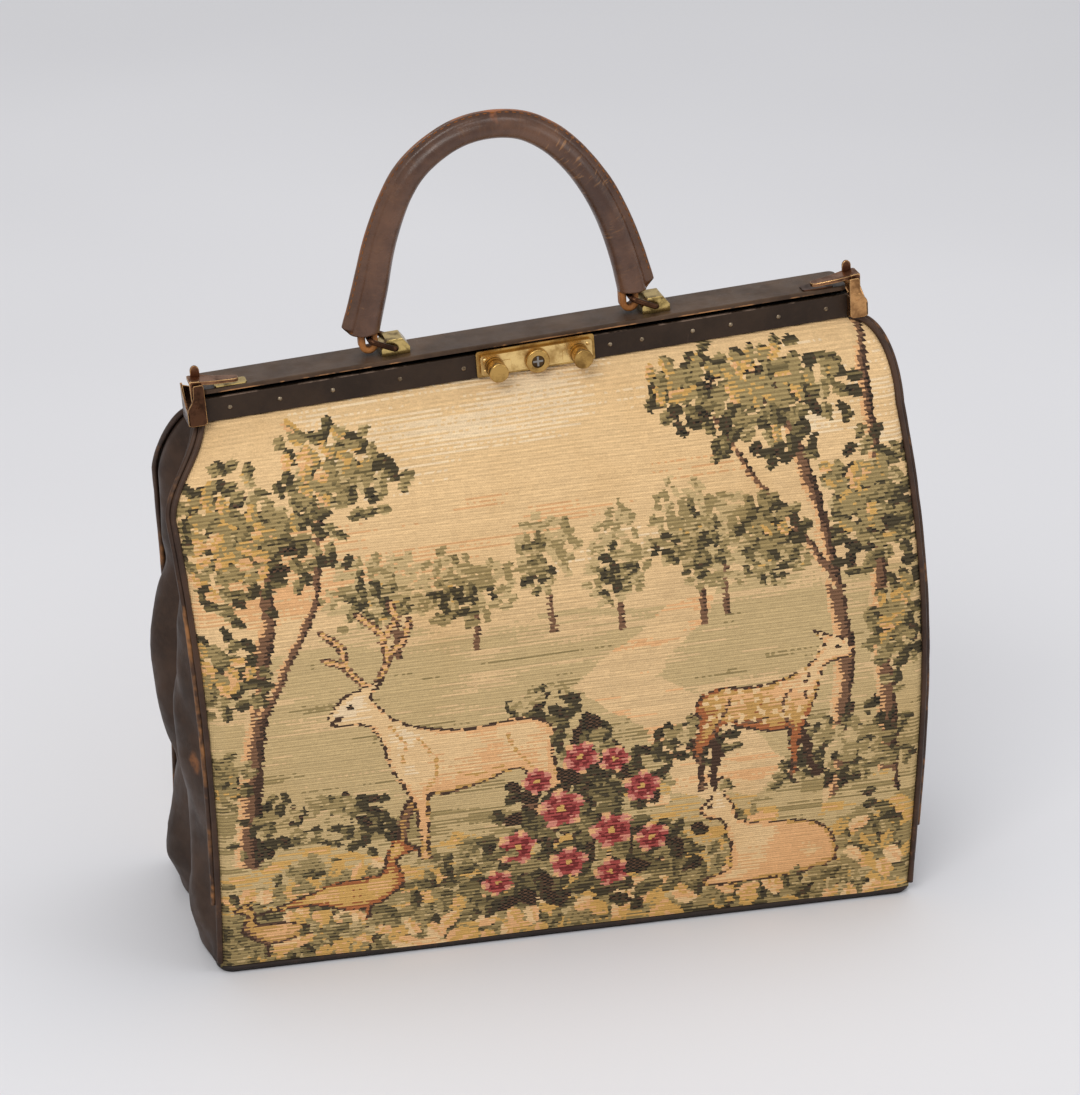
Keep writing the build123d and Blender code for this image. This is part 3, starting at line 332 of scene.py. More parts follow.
class Finish:
    """A node material with short names for what is used again and again."""

    def __init__(self, name, **sockets):
        self.material = bpy.data.materials.new(name)
        self.material.use_nodes = True
        self.nodes = self.material.node_tree.nodes
        self.links = self.material.node_tree.links
        self.shader = self.nodes["Principled BSDF"]
        self.place = self.nodes.new("ShaderNodeTexCoord").outputs["Object"]
        for socket, value in sockets.items():
            self.shader.inputs[socket.replace("_", " ")].default_value = value

    def put(self, node, socket, value):
        """Sets a socket to a value, or links an output to it."""
        if isinstance(value, bpy.types.NodeSocket):
            self.links.new(value, node.inputs[socket])
        else:
            node.inputs[socket].default_value = value

    def node(self, kind, **sockets):
        """A new node with some sockets set or linked."""
        node = self.nodes.new(f"ShaderNode{kind}")
        for socket, value in sockets.items():
            self.put(node, socket, value)
        return node

    def stretched(self, scale, turn=(0, 0, 0)):
        """Places with each axis scaled by itself."""
        return self.node("Mapping", Vector=self.place, Scale=scale, Rotation=turn).outputs[0]

    def noise(self, scale, detail=4.0, rough=0.55, vector=None):
        vector = vector or self.place
        return self.node("TexNoise", Vector=vector, Scale=scale, Detail=detail, Roughness=rough).outputs[0]

    def cell_edges(self, scale):
        """Distance from the borders between small cells."""
        node = self.node("TexVoronoi", Vector=self.place, Scale=scale)
        node.feature = "DISTANCE_TO_EDGE"
        return node.outputs["Distance"]

    def attribute(self, name, output="Fac"):
        node = self.node("Attribute")
        node.attribute_name = name
        return node.outputs[output]

    def math(self, operation, a, b=0.0):
        node = self.node("Math")
        node.operation = operation
        self.put(node, 0, a)
        self.put(node, 1, b)
        return node.outputs[0]

    def times(self, a, b):
        return self.math("MULTIPLY", a, b)

    def plus(self, a, b):
        return self.math("ADD", a, b)

    def span(self, value, low, high, to_low=0.0, to_high=1.0):
        """Turns a range of a value into another range, held at its ends."""
        node = self.node("MapRange")
        node.interpolation_type = "SMOOTHSTEP"
        for index, limit in enumerate((value, low, high, to_low, to_high)):
            self.put(node, index, limit)
        return node.outputs[0]

    def along(self, direction, start=(0, 0, 0)):
        """How far a point lies along a direction from a start, in metres."""
        less = self.node("VectorMath")
        less.operation = "SUBTRACT"
        self.put(less, 0, self.place)
        self.put(less, 1, start)
        dot = self.node("VectorMath")
        dot.operation = "DOT_PRODUCT"
        self.put(dot, 0, less.outputs[0])
        self.put(dot, 1, direction)
        return dot.outputs["Value"]

    def waves(self, direction, pitch):
        """A sine wave along a direction."""
        return self.math("SINE", self.times(self.along(direction), 2 * pi / pitch))

    def mix(self, factor, a, b, blend="MIX"):
        node = self.node("Mix")
        node.data_type = "RGBA"
        node.blend_type = blend
        for socket, value in ((0, factor), (6, a), (7, b)):
            self.put(node, socket, value)
        return node.outputs[2]

    def shaded(self, distance):
        """How open a place is to the light: for painted shade in the leathers' corners, and for tarnish in
        the metals' hollows.
        """
        node = self.node("AmbientOcclusion", Distance=distance)
        node.samples = AO_SAMPLES
        return node.outputs["AO"]

    def bump(self, height, strength, distance, below=None):
        node = self.node("Bump", Strength=strength, Distance=distance, Height=height)
        if below is not None:
            self.put(node, "Normal", below)
        return node.outputs[0]

    def end(self, colour, roughness, normal=None):
        self.put(self.shader, "Base Color", colour)
        self.put(self.shader, "Roughness", roughness)
        if normal is not None:
            self.put(self.shader, "Normal", normal)
        return self.material


BLACK = (0, 0, 0, 1)
WHITE = (1, 1, 1, 1)
# How far the painted shade in the leathers' corners reaches
SHADE_REACH = 6.0 * MM
TARNISH_REACH = 2.5 * MM
CRACKS_BEGIN = (160.0 * MM, 185.0 * MM)  # along the handle
CRACKS_END = (240.0 * MM, 262.0 * MM)
RUBBED_TOP = (9.0 * MM, 10.5 * MM)  # out from the handle's middle line
CRACK_SCALES = (700.0, 110.0)
LINING_PITCH = 1.1 * MM
SEWING_PITCH = 0.6 * MM
RIB_PITCH = 1.3 * MM
THREAD_PITCH = 0.9 * MM


def clouded_tone(f, scale):
    """Large soft clouds between two tones of leather."""
    return f.span(f.noise(scale, detail=6.0, rough=0.62), 0.35, 0.68)


def rubbed_share(f, marked, fine, uneven, most=1.0):
    """How far a marked place is rubbed, with an uneven border."""
    return f.span(f.plus(marked, f.times(f.math("SUBTRACT", fine, 0.5), uneven)), 0.42, 0.85, 0.0, most)


def grain_bump(f, grain, strength, distance):
    return f.bump(f.span(f.cell_edges(grain), 0.0, 0.22), strength, distance)


def scratch_lines(f):
    """Thin scratches in two directions, in patches."""
    thin = f.noise(1.0, detail=3.0, rough=0.6, vector=f.stretched((35.0, 900.0, 700.0), (0.3, 0.5, 0.2)))
    steep = f.noise(1.0, detail=3.0, rough=0.6, vector=f.stretched((900.0, 60.0, 45.0), (0.2, 0.9, 0.6)))
    lines = f.math("MAXIMUM", f.span(thin, 0.69, 0.76), f.span(steep, 0.70, 0.77))
    return f.times(lines, f.span(f.noise(40.0, detail=2.0), 0.45, 0.65))


def leather(name, dark, light, worn, roughness, grain, scratches, gloss=0.3, worn_lit_edge=None):
    """Aged leather: two dark tones in clouds, a fine grain, scratches, tan wear where a piece is marked worn,
    and painted shade in its corners. Along one edge, given as a direction, a start, and where the line begins
    and is full, the tan line is rubbed leather and a painted highlight."""
    f = Finish(name, Specular_IOR_Level=gloss)
    dark, light, worn = rgb(*dark), rgb(*light), rgb(*worn)
    colour = f.mix(clouded_tone(f, 28.0), dark, light)
    fine = f.noise(260.0, detail=3.0)
    colour = f.mix(f.span(fine, 0.45, 0.75, 0.0, 0.35), colour, light)
    lines = scratch_lines(f)
    colour = f.mix(f.times(lines, scratches), colour, worn)
    marked = f.attribute("wear")
    # Along the given edge the tan line is partly rubbed leather and partly a painted highlight.
    if worn_lit_edge is not None:
        direction, start, low, high = worn_lit_edge
        marked = f.span(f.along(direction, start), low, high, 0.0, 0.62)
        marked = f.times(marked, f.span(f.noise(46.0, detail=4.0, rough=0.6), 0.40, 0.60, 0.35, 1.3))
    rubbed = rubbed_share(f, marked, fine, 0.55)
    colour = f.mix(rubbed, colour, worn)
    # Painted shade: the leather's colour is darkened where the ambient occlusion node finds corners and
    # folds.
    painted_shade = f.span(f.shaded(SHADE_REACH), 0.25, 0.9, 0.4, 1.0)
    colour = f.mix(1.0, colour, f.mix(painted_shade, BLACK, WHITE), "MULTIPLY")
    normal = grain_bump(f, grain, strength=0.35, distance=0.12 * MM)
    normal = f.bump(f.noise(420.0, detail=3.0), strength=0.25, distance=0.2 * MM, below=normal)
    normal = f.bump(lines, strength=0.2, distance=0.1 * MM, below=normal)
    rough = f.span(f.noise(90.0, detail=4.0), 0.3, 0.75, roughness - 0.07, roughness + 0.12)
    return f.end(colour, f.plus(rough, f.times(rubbed, 0.2)), normal)


def handle_finish():
    """Polished dark leather: cracks run across the roll, thickest on its right half. The crown is rubbed."""
    f = Finish("handle_leather", Specular_IOR_Level=0.5)
    colour = f.mix(clouded_tone(f, 34.0), rgb(68, 43, 30), rgb(102, 70, 51))
    along = f.attribute("along")
    around = f.attribute("around")
    across = f.node("CombineXYZ", X=f.times(along, CRACK_SCALES[0]), Y=f.times(around, CRACK_SCALES[1]))
    creases = f.noise(1.0, detail=3.0, rough=0.55, vector=across.outputs[0])
    where = f.span(along, *CRACKS_BEGIN, 0.10, 1.0)
    where = f.times(where, f.span(along, *CRACKS_END, 1.0, 0.2))
    where = f.times(where, f.span(f.noise(70.0, detail=3.0), 0.36, 0.58))
    where = f.math("MAXIMUM", where, f.span(f.noise(52.0, detail=3.0), 0.66, 0.74, 0.0, 0.8))
    cracks = f.times(f.span(creases, 0.55, 0.65), where)
    colour = f.mix(f.times(cracks, 0.7), colour, rgb(158, 112, 70))
    rubbed = rubbed_share(f, f.attribute("wear"), f.noise(420.0, detail=3.0), 0.5, 0.9)
    colour = f.mix(rubbed, colour, rgb(160, 96, 56))
    colour = f.mix(f.span(around, *RUBBED_TOP, 0.0, 0.35), colour, rgb(92, 62, 36))
    normal = grain_bump(f, 1700.0, strength=0.22, distance=0.1 * MM)
    normal = f.bump(creases, strength=0.22, distance=0.3 * MM, below=normal)
    normal = f.bump(cracks, strength=-0.3, distance=0.2 * MM, below=normal)
    rough = f.span(f.noise(120.0, detail=4.0), 0.3, 0.75, 0.22, 0.36)
    return f.end(colour, f.plus(rough, f.times(rubbed, 0.25)), normal)


def old_metal(name, bright, tarnish, low_rough, high_rough, spots):
    """Handled brass or bronze: bright where it is rubbed, dull and dark in corners."""
    f = Finish(name, Metallic=1.0)
    bright, tarnish = rgb(*bright), rgb(*tarnish)
    clouded = f.span(f.noise(spots, detail=6.0, rough=0.65), 0.42, 0.66)
    colour = f.mix(clouded, bright, tarnish)
    speck = f.span(f.noise(900.0, detail=2.0), 0.62, 0.74)
    colour = f.mix(f.times(speck, 0.5), colour, tarnish)
    colour = f.mix(f.span(f.shaded(TARNISH_REACH), 0.2, 0.85), tarnish, colour)
    brushed = f.noise(1.0, detail=2.0, rough=0.5, vector=f.stretched((120.0, 2400.0, 2400.0)))
    normal = f.bump(brushed, strength=0.12, distance=0.05 * MM)
    normal = f.bump(f.noise(500.0, detail=3.0), strength=0.10, distance=0.1 * MM, below=normal)
    return f.end(colour, f.span(clouded, 0.0, 1.0, low_rough, high_rough), normal)


def steel(name, tone_a, tone_b, rough):
    f = Finish(name, Metallic=0.85)
    clouded = f.span(f.noise(70.0, detail=5.0), 0.35, 0.7)
    normal = f.bump(f.noise(700.0, detail=3.0), strength=0.15, distance=0.1 * MM)
    colour = f.mix(clouded, rgb(*tone_a), rgb(*tone_b))
    return f.end(colour, f.span(clouded, 0.0, 1.0, rough, rough + 0.15), normal)


def cloth(name, tone_a, tone_b, pitch):
    """Plain woven lining."""
    f = Finish(name, Specular_IOR_Level=0.25)
    weave = f.times(f.waves((1, 0, 0), pitch), f.waves((0, 0.6, 0.8), pitch))
    stains = f.span(f.noise(14.0, detail=5.0), 0.35, 0.7)
    colour = f.mix(stains, rgb(*tone_a), rgb(*tone_b))
    colour = f.mix(f.span(weave, -1.0, 1.0, 0.0, 0.25), colour, rgb(*tone_b))
    return f.end(colour, 0.9, f.bump(weave, strength=0.4, distance=0.2 * MM))


def tapestry_finish():
    """The woven picture: its colours lie on the mesh, its ribs and threads come from here."""
    f = Finish("tapestry", Specular_IOR_Level=0.2)
    fuzz = f.noise(1.0, detail=2.0, rough=0.5, vector=f.stretched((900.0, 900.0, 2600.0)))
    faint = f.span(fuzz, 0.3, 0.7, 0.0, 0.16)
    colour = f.mix(faint, f.attribute("weave", "Color"), rgb(70, 62, 44), "MULTIPLY")
    soil = f.span(f.noise(9.0, detail=5.0, rough=0.6), 0.45, 0.75, 0.0, 0.3)
    colour = f.mix(soil, colour, rgb(214, 196, 160), "MULTIPLY")
    ribs = f.plus(f.waves((0, 0, 1), RIB_PITCH), f.times(f.waves((1, 0, 0), THREAD_PITCH), 0.55))
    height = f.plus(ribs, f.times(fuzz, 1.4))
    return f.end(colour, 0.88, f.bump(height, strength=0.55, distance=0.22 * MM))


FRAME_UP = (-sin(FRAME_TILT), 0.0, cos(FRAME_TILT))
FRAME_ORIGIN = (FRAME_SHIFT * MM, 0.0, FRAME_HEIGHT * MM)
# The front strip's top edge and the top plate's lower front edge get a tan line that is partly rubbed leather
# and partly a painted highlight.
STRIP_EDGE = (FRAME_UP, FRAME_ORIGIN, 13.1 * MM, 13.8 * MM)
SLOPE_SHARE = 0.7
PLATE_EDGE_WAY = (SLOPE_SHARE * sin(FRAME_TILT), -SLOPE_SHARE, -SLOPE_SHARE * cos(FRAME_TILT))
PLATE_EDGE_PLACE = in_metres(frame_point(0, -PLATE_FRONT, PLATE_BOTTOM))
PLATE_EDGE = (PLATE_EDGE_WAY, PLATE_EDGE_PLACE, -0.9 * MM, -0.2 * MM)
LEATHERS = {  # dark, light and worn tones, roughness, grains per metre, scratches, gloss and an edge with a line of wear and painted highlight
    "gusset_leather": ((50, 36, 27), (72, 53, 41), (136, 88, 54), 0.48, 900.0, 0.14, 0.16),
    "welt_leather": ((50, 34, 25), (76, 53, 38), (152, 104, 62), 0.42, 1500.0, 0.3, 0.25),
    "strip_leather": ((43, 31, 22), (58, 43, 31), (118, 98, 84), 0.38, 1600.0, 0.18, 0.2, STRIP_EDGE),
    "plate_leather": ((62, 45, 32), (86, 65, 48), (176, 126, 82), 0.36, 1600.0, 0.3, 0.22, PLATE_EDGE),
    "raw_leather": ((140, 86, 42), (182, 120, 64), (206, 156, 100), 0.6, 1200.0, 0.2),
    "base_leather": ((34, 25, 21), (50, 37, 30), (120, 76, 46), 0.5, 1300.0, 0.2),
}
METALS = {  # bright and tarnished tones, lowest and highest roughness, spots per metre
    "lock_brass": ((238, 202, 134), (178, 140, 82), 0.24, 0.42, 60.0),
    "knob_brass": ((194, 154, 88), (126, 94, 50), 0.24, 0.42, 60.0),
    "mount_brass": ((204, 176, 112), (116, 96, 56), 0.2, 0.42, 130.0),
    "bronze": ((88, 59, 42), (52, 35, 26), 0.26, 0.46, 90.0),
    "lever_bronze": ((142, 100, 73), (94, 64, 47), 0.26, 0.46, 90.0),
    # A lighter copy of the bronze for the right latch and its pin: painted light
    "lit_bronze": ((202, 152, 100), (132, 94, 60), 0.24, 0.42, 90.0),
    # Bright finish on the rounded edges: partly rubbed metal, partly a painted highlight
    "bronze_edge_wear_and_highlight": ((206, 164, 112), (136, 98, 64), 0.2, 0.36, 160.0),
    "nail_metal": ((158, 142, 120), (92, 76, 60), 0.4, 0.6, 400.0),
    "dark_brass": ((84, 64, 42), (48, 37, 27), 0.3, 0.5, 60.0),
}
tapestry = tapestry_finish()
lining = cloth("lining", (146, 130, 104), (120, 104, 80), LINING_PITCH)
thread = cloth("thread", (150, 92, 46), (116, 68, 34), SEWING_PITCH)
handle_leather = handle_finish()
leathers = {name: leather(name, *values) for name, values in LEATHERS.items()}
metals = {name: old_metal(name, *values) for name, values in METALS.items()}
black_steel = steel("black_steel", (34, 30, 28), (50, 44, 40), 0.4)
bare_steel = steel("bare_steel", (160, 156, 150), (122, 115, 106), 0.3)
# The latches are the same bronze: the left one takes the dark bronze as painted shade, the right one a
# lighter copy as painted light.
LATCH_BRONZE = {"left": metals["bronze"], "right": metals["lit_bronze"]}

# The woven picture: a plain woodland of trees, deer, birds and roses, worked out thread by thread. Outlines
# of creatures are in shares of their size, all other places in millimetres from the middle of the panel's
# foot. Threads are named from dark to light.
TONES = {
    "white": (244, 215, 174), "cream": (238, 200, 148), "sand": (228, 192, 142), "peach": (236, 182, 128),
    "ochre": (216, 170, 98), "gold": (204, 158, 92), "moss": (206, 178, 128), "olive": (164, 142, 96),
    "fern": (120, 105, 70), "bottle": (76, 67, 49), "night": (42, 37, 31), "rust": (172, 104, 64),
    "bark": (128, 94, 70), "umber": (78, 58, 46), "wine": (124, 50, 48), "rose": (172, 80, 74),
    "pink": (218, 142, 122),
}
PALETTE = {name: rgb(*tone)[:3] for name, tone in TONES.items()}
SPECKLE_BELOW = 0.03
THREAD_ORDER = np.array([[0, 2, 1, 3], [8, 10, 9, 11], [4, 6, 5, 7], [12, 14, 13, 15]])  # row by row first

STAG = (
    (-0.66, 0.86), (-0.58, 0.945), (-0.50, 0.975), (-0.36, 1.02), (-0.44, 0.935), (-0.40, 0.87),
    (-0.33, 0.79), (-0.20, 0.735), (0.02, 0.695), (0.24, 0.715), (0.38, 0.69), (0.44, 0.63), (0.475, 0.53),
    (0.43, 0.55), (0.435, 0.46), (0.475, 0.30), (0.435, 0.17), (0.43, 0.05), (0.445, 0.0), (0.375, 0.0),
    (0.385, 0.06), (0.39, 0.17), (0.40, 0.27), (0.30, 0.38), (0.24, 0.44), (0.05, 0.385), (-0.12, 0.35),
    (-0.19, 0.36), (-0.19, 0.25), (-0.195, 0.17), (-0.20, 0.05), (-0.185, 0.0), (-0.265, 0.0), (-0.25, 0.06),
    (-0.255, 0.18), (-0.27, 0.30), (-0.335, 0.45), (-0.39, 0.56), (-0.405, 0.66), (-0.455, 0.76),
    (-0.52, 0.79), (-0.63, 0.80),
)
MUSCLES = (
    ((0.20, 0.64), (0.24, 0.54), (0.31, 0.45), (0.33, 0.40)),
    ((-0.23, 0.67), (-0.15, 0.56), (-0.16, 0.45), (-0.21, 0.38)),
    ((-0.36, 0.76), (-0.30, 0.66), (-0.31, 0.56)),
    ((-0.05, 0.46), (0.06, 0.44), (0.18, 0.47)),
)
FAR_LEGS = (
    ((0.34, 0.40), (0.26, 0.26), (0.30, 0.12), (0.27, 0.0), (0.33, 0.0), (0.36, 0.12), (0.34, 0.26),
     (0.40, 0.40)),
    ((-0.24, 0.42), (-0.34, 0.28), (-0.36, 0.12), (-0.42, 0.02), (-0.36, 0.0), (-0.31, 0.12), (-0.28, 0.26),
     (-0.14, 0.40)),
)
ANTLERS = (
    ((-0.42, 0.97), (-0.34, 1.10), (-0.36, 1.24), (-0.46, 1.34)),
    ((-0.35, 1.12), (-0.26, 1.18), (-0.22, 1.28)),
    ((-0.36, 1.20), (-0.28, 1.30), (-0.30, 1.38)),
    ((-0.46, 0.98), (-0.54, 1.08), (-0.56, 1.20), (-0.64, 1.28)),
    ((-0.54, 1.10), (-0.64, 1.14)),
)
FAWN = (
    (-0.52, 0.62), (-0.42, 0.72), (-0.36, 0.88), (-0.33, 0.72), (-0.27, 0.64), (-0.22, 0.50), (0.0, 0.46),
    (0.25, 0.44), (0.42, 0.36), (0.50, 0.20), (0.46, 0.06), (0.20, 0.02), (-0.10, 0.0), (-0.42, 0.0),
    (-0.48, 0.06), (-0.30, 0.12), (-0.28, 0.20), (-0.30, 0.36), (-0.36, 0.50), (-0.48, 0.54),
)
BIRD = (
    (-0.95, 0.10), (-0.5, 0.25), (-0.2, 0.36), (0.1, 0.38), (0.22, 0.42), (0.26, 0.60), (0.34, 0.72),
    (0.44, 0.68), (0.58, 0.60), (0.46, 0.57), (0.36, 0.50), (0.42, 0.28), (0.22, 0.10), (0.12, 0.06),
    (0.12, -0.12), (0.06, -0.12), (0.05, 0.04), (-0.1, 0.05), (-0.4, 0.14),
)
# Place of the feet's middle, size, and 1 facing left or -1 facing right
STAG_PLACE = ((-62.0, 62.0), 118.0, 1)
DOE_PLACE = ((112.0, 84.0), 88.0, -1)
FAWN_PLACE = ((118.0, 20.0), 84.0, 1)
BIRD_PLACES = (((-128.0, 30.0), 66.0, 1), ((-176.0, 14.0), 46.0, -1))
STAG_EYE = (((-0.55, 0.885), (-0.535, 0.89)),)
STAG_NOSE = (((-0.62, 0.84), (-0.60, 0.84)),)
DOE_EYE = (((-0.55, 0.885), (-0.53, 0.89)),)
FAWN_EYE = (((-0.44, 0.625), (-0.43, 0.63)),)
ANTLER_WIDTHS = (2.2, 1.1)  # dark below and light above
MUSCLE_WIDTHS = (0.9, 0.8)  # of the stag and of the doe
STAG_EYE_WIDTH = 1.4
EYE_WIDTH = 1.2
NOSE_WIDTH = 1.6
SPOT_SPACING = 7.0
SPOT_RADIUS = 1.7
SPOTS_ABOVE_SHARE = 0.42

FOLIAGE = "night bottle bottle fern olive moss ochre"
WARM_FOLIAGE = "bottle fern olive olive ochre peach cream"
PALE_FOLIAGE = "fern olive olive moss moss sand"
BARK = "night umber bark bark peach sand"
FAR_BARK = "umber bark bark"
COAT = "umber bark gold peach peach cream cream white"
RED_COAT = "umber bark rust rust gold peach cream"
PETALS = "wine wine rose rose pink peach"
BIRD_COATS = ("umber rust rust ochre peach cream", "umber bark gold peach cream")

# A stem is its middle line, its width below and above, its threads and a seed. A crown is discs of leaves,
# each a middle with its reach along and up. Its top is a second layer of leaves: moved along and up, thinned,
# and with threads and a light of its own.
FAR_STEM_WIDTHS = (4.0, 2.5)
FAR_STEM_LEAN = 2
FAR_STEM_SEED = 200
FAR_STEM_PLACES = (
    (-96, 192, 230), (-52, 190, 224), (-8, 194, 236), (32, 190, 228), (80, 186, 236), (94, 190, 228),
)
FAR_STEMS = [
    (((x, low), (x + FAR_STEM_LEAN, high)), *FAR_STEM_WIDTHS, FAR_BARK, x + FAR_STEM_SEED)
    for x, low, high in FAR_STEM_PLACES
]
FAR_TOP = (3, 5, 0.45, FOLIAGE, 0.10)
FAR_WOOD = dict(
    discs=((-100, 232, 36, 24), (-55, 226, 34, 22), (-8, 240, 24, 24), (34, 230, 26, 30), (84, 238, 32, 36),
           (124, 222, 30, 24)),
    size=6.0, threads=PALE_FOLIAGE, seed=41, light=0.12, top=FAR_TOP,
)
LEFT_STEMS = (
    (((-196, 30), (-184, 150), (-158, 268)), 17.0, 8.0, BARK, 51),
    (((-176, 168), (-140, 230), (-126, 286)), 8.0, 4.0, BARK, 52),
)
LEFT_CROWN = dict(
    discs=((-168, 268, 56, 44), (-118, 296, 44, 26), (-196, 196, 30, 30), (-200, 130, 20, 26)),
    size=8.0, threads=FOLIAGE, seed=54, light=0.06, top=(6, -6, 0.30, WARM_FOLIAGE, 0.10),
)
RIGHT_STEMS = (
    (((158, 60), (164, 170), (142, 318)), 15.0, 7.0, BARK, 61),
    (((192, 50), (184, 180), (198, 330)), 13.0, 7.0, BARK, 62),
    (((163, 196), (122, 260), (104, 296)), 7.0, 3.0, BARK, 63),
)
RIGHT_CROWN = dict(
    discs=((140, 300, 58, 36), (186, 244, 36, 46), (100, 308, 36, 20), (198, 168, 22, 40),
           (128, 236, 24, 20)),
    size=8.0, threads=FOLIAGE, seed=64, light=0.03, top=(6, -6, 0.35, WARM_FOLIAGE, 0.06),
)
THICKET = dict(
    discs=((-150, 92, 52, 30), (166, 100, 46, 28), (70, 118, 34, 18), (-16, 150, 30, 14)),
    size=7.5, threads=FOLIAGE, seed=71, light=-0.08, top=(4, -6, 0.45, PALE_FOLIAGE, 0.1),
)
FRONT_TREES = (
    (FAR_STEMS, FAR_WOOD), (LEFT_STEMS, LEFT_CROWN), (RIGHT_STEMS, RIGHT_CROWN), ((), THICKET),
)
ROSE_BUSH = dict(
    discs=((4, 74, 56, 46), (-18, 44, 52, 34), (34, 46, 46, 34), (10, 112, 32, 26)),
    size=11.0, threads="night night bottle fern olive", seed=91, light=0.05,
    top=(5, -6, 0.6, "bottle fern olive moss", 0.1),
)
ROSES = (  # middle and radius
    (-34, 62, 13.0), (-8, 84, 15.0), (22, 66, 14.0), (40, 92, 12.0), (4, 116, 12.0), (-22, 104, 10.0),
    (-4, 48, 12.0), (46, 58, 11.0), (24, 112, 10.0), (-46, 40, 10.0), (22, 38, 11.0),
)
PETAL_COUNT = 5
TUFTS = ((-130, 22, 70, 12), (150, 18, 60, 12), (-60, 60, 50, 8), (112, 84, 40, 6))
TUFT_THREADS = "bottle fern olive moss ochre"
BACK_FAR_WOOD = dict(
    discs=((-120, 214, 40, 26), (-50, 220, 34, 24), (30, 212, 40, 30), (110, 222, 36, 30)),
    size=6.0, threads=PALE_FOLIAGE, seed=41, light=0.12, top=FAR_TOP,
)
BACK_STEMS = (
    (((-150, 40), (-140, 170), (-160, 320)), 17.0, 8.0, BARK, 51),
    (((150, 50), (166, 180), (150, 320)), 15.0, 7.0, BARK, 61),
    (((20, 60), (10, 170), (30, 290)), 12.0, 6.0, BARK, 62),
)
BACK_CROWNS = dict(
    discs=((-150, 284, 66, 44), (20, 284, 56, 40), (150, 280, 62, 46), (-190, 190, 30, 40),
           (196, 180, 26, 40)),
    size=8.0, threads=FOLIAGE, seed=54, light=0.06, top=(6, -6, 0.30, WARM_FOLIAGE, 0.06),
)
BACK_THICKET = dict(
    discs=((-90, 96, 56, 30), (90, 110, 60, 30), (-190, 90, 40, 30), (190, 90, 40, 30)),
    size=7.5, threads=FOLIAGE, seed=71, light=-0.06,
)
BACK_TREES = (((), BACK_FAR_WOOD), (BACK_STEMS, BACK_CROWNS), ((), BACK_THICKET))
TOP_LAYER_SEED = 3
BLOB_CLOUDS = (21.0, 17.0)
LEAF_CLOUDS = (26.0, 22.0)
LEAF_BLADE_SHARES = (0.62, 0.40)
LEAF_RIB_SHARES = (0.04, 0.07)
COAT_CLOUDS = (16.0, 12.0)
COAT_EDGE = 3.2
COAT_LINE = 1.5
BARK_CLOUDS = (4.0, 17.0)
STEM_SWAY = 3.0
STEM_SWAY_LENGTH = 22.0
SKY_CLOUDS = (80.0, 26.0)
SKY_HEIGHT = 250.0
SKY_FADE = 80.0
HORIZON = 214.0
HORIZON_SWAY = 16.0
HORIZON_SWAY_LENGTH = 55.0
HILL_RISE = 12.0
HILL_CLOUDS = (34.0, 10.0)
MEADOW_DROP = 6.0
MEADOW_CLOUDS = (48.0, 6.5)
MEADOW_LOW = 60.0
MEADOW_FADE = 150.0
PATH_SWAY = 10.0
PATH_CLOUDS = (44.0, 6.0)
FRONT_UNDERGROWTH = 60.0
BACK_UNDERGROWTH = 84.0
UNDERGROWTH_SWAY_LENGTH = 46.0
UNDERGROWTH_FADE = 30.0
UNDERGROWTH_CLOUDS = (26.0, 18.0)
LIT_CLOUDS = (38.0, 24.0)
SOIL_CLOUDS = (22.0, 7.0)
UNDERGROWTH_LEAVES = (8.0, 11.0)  # in shade and lit
TUFT_LEAVES = 7.0
PATH_LINE = ((40.0, 90.0, 130.0, 160.0, 200.0), (10.0, 95.0, 70.0, 25.0, 75.0))  # heights and middles
PATH_HALVES = ((40.0, 100.0, 160.0, 200.0), (46.0, 34.0, 26.0, 14.0))  # heights and half widths


def inside(x, y, outline):
    """Which points lie within a closed outline."""
    found = np.zeros(x.shape, bool)
    for (x0, y0), (x1, y1) in zip(outline, outline[1:] + outline[:1]):
        if y0 == y1:
            continue
        spans = (y0 > y) != (y1 > y)
        found ^= spans & (x < x0 + (x1 - x0) * (y - y0) / (y1 - y0))
    return found


def line_distance(x, y, line, closed=False):
    """Distance of points from a line, or from a closed outline."""
    near = np.full(x.shape, FAR_AWAY)
    ends = line[1:] + line[:1] if closed else line[1:]
    for (x0, y0), (x1, y1) in zip(line, ends):
        run_x = x1 - x0
        run_y = y1 - y0
        t = np.clip(((x - x0) * run_x + (y - y0) * run_y) / (run_x**2 + run_y**2 + 1 / FAR_AWAY), 0, 1)
        near = np.minimum(near, np.hypot(x - x0 - t * run_x, y - y0 - t * run_y))
    return near


def blobs(discs):
    """A density that is 1 in the middle of each disc and falls to 0 and below outside it."""

    def density(x, y):
        best = np.full(np.shape(x), -1.0)
        for cx, cy, rx, ry in discs:
            best = np.maximum(best, 1.25 - np.hypot((x - cx) / rx, (y - cy) / ry) * 1.25)
        return best + 0.7 * (clouds_of(BLOB_CLOUDS, x, y, 3, 2) - 0.5)

    return density


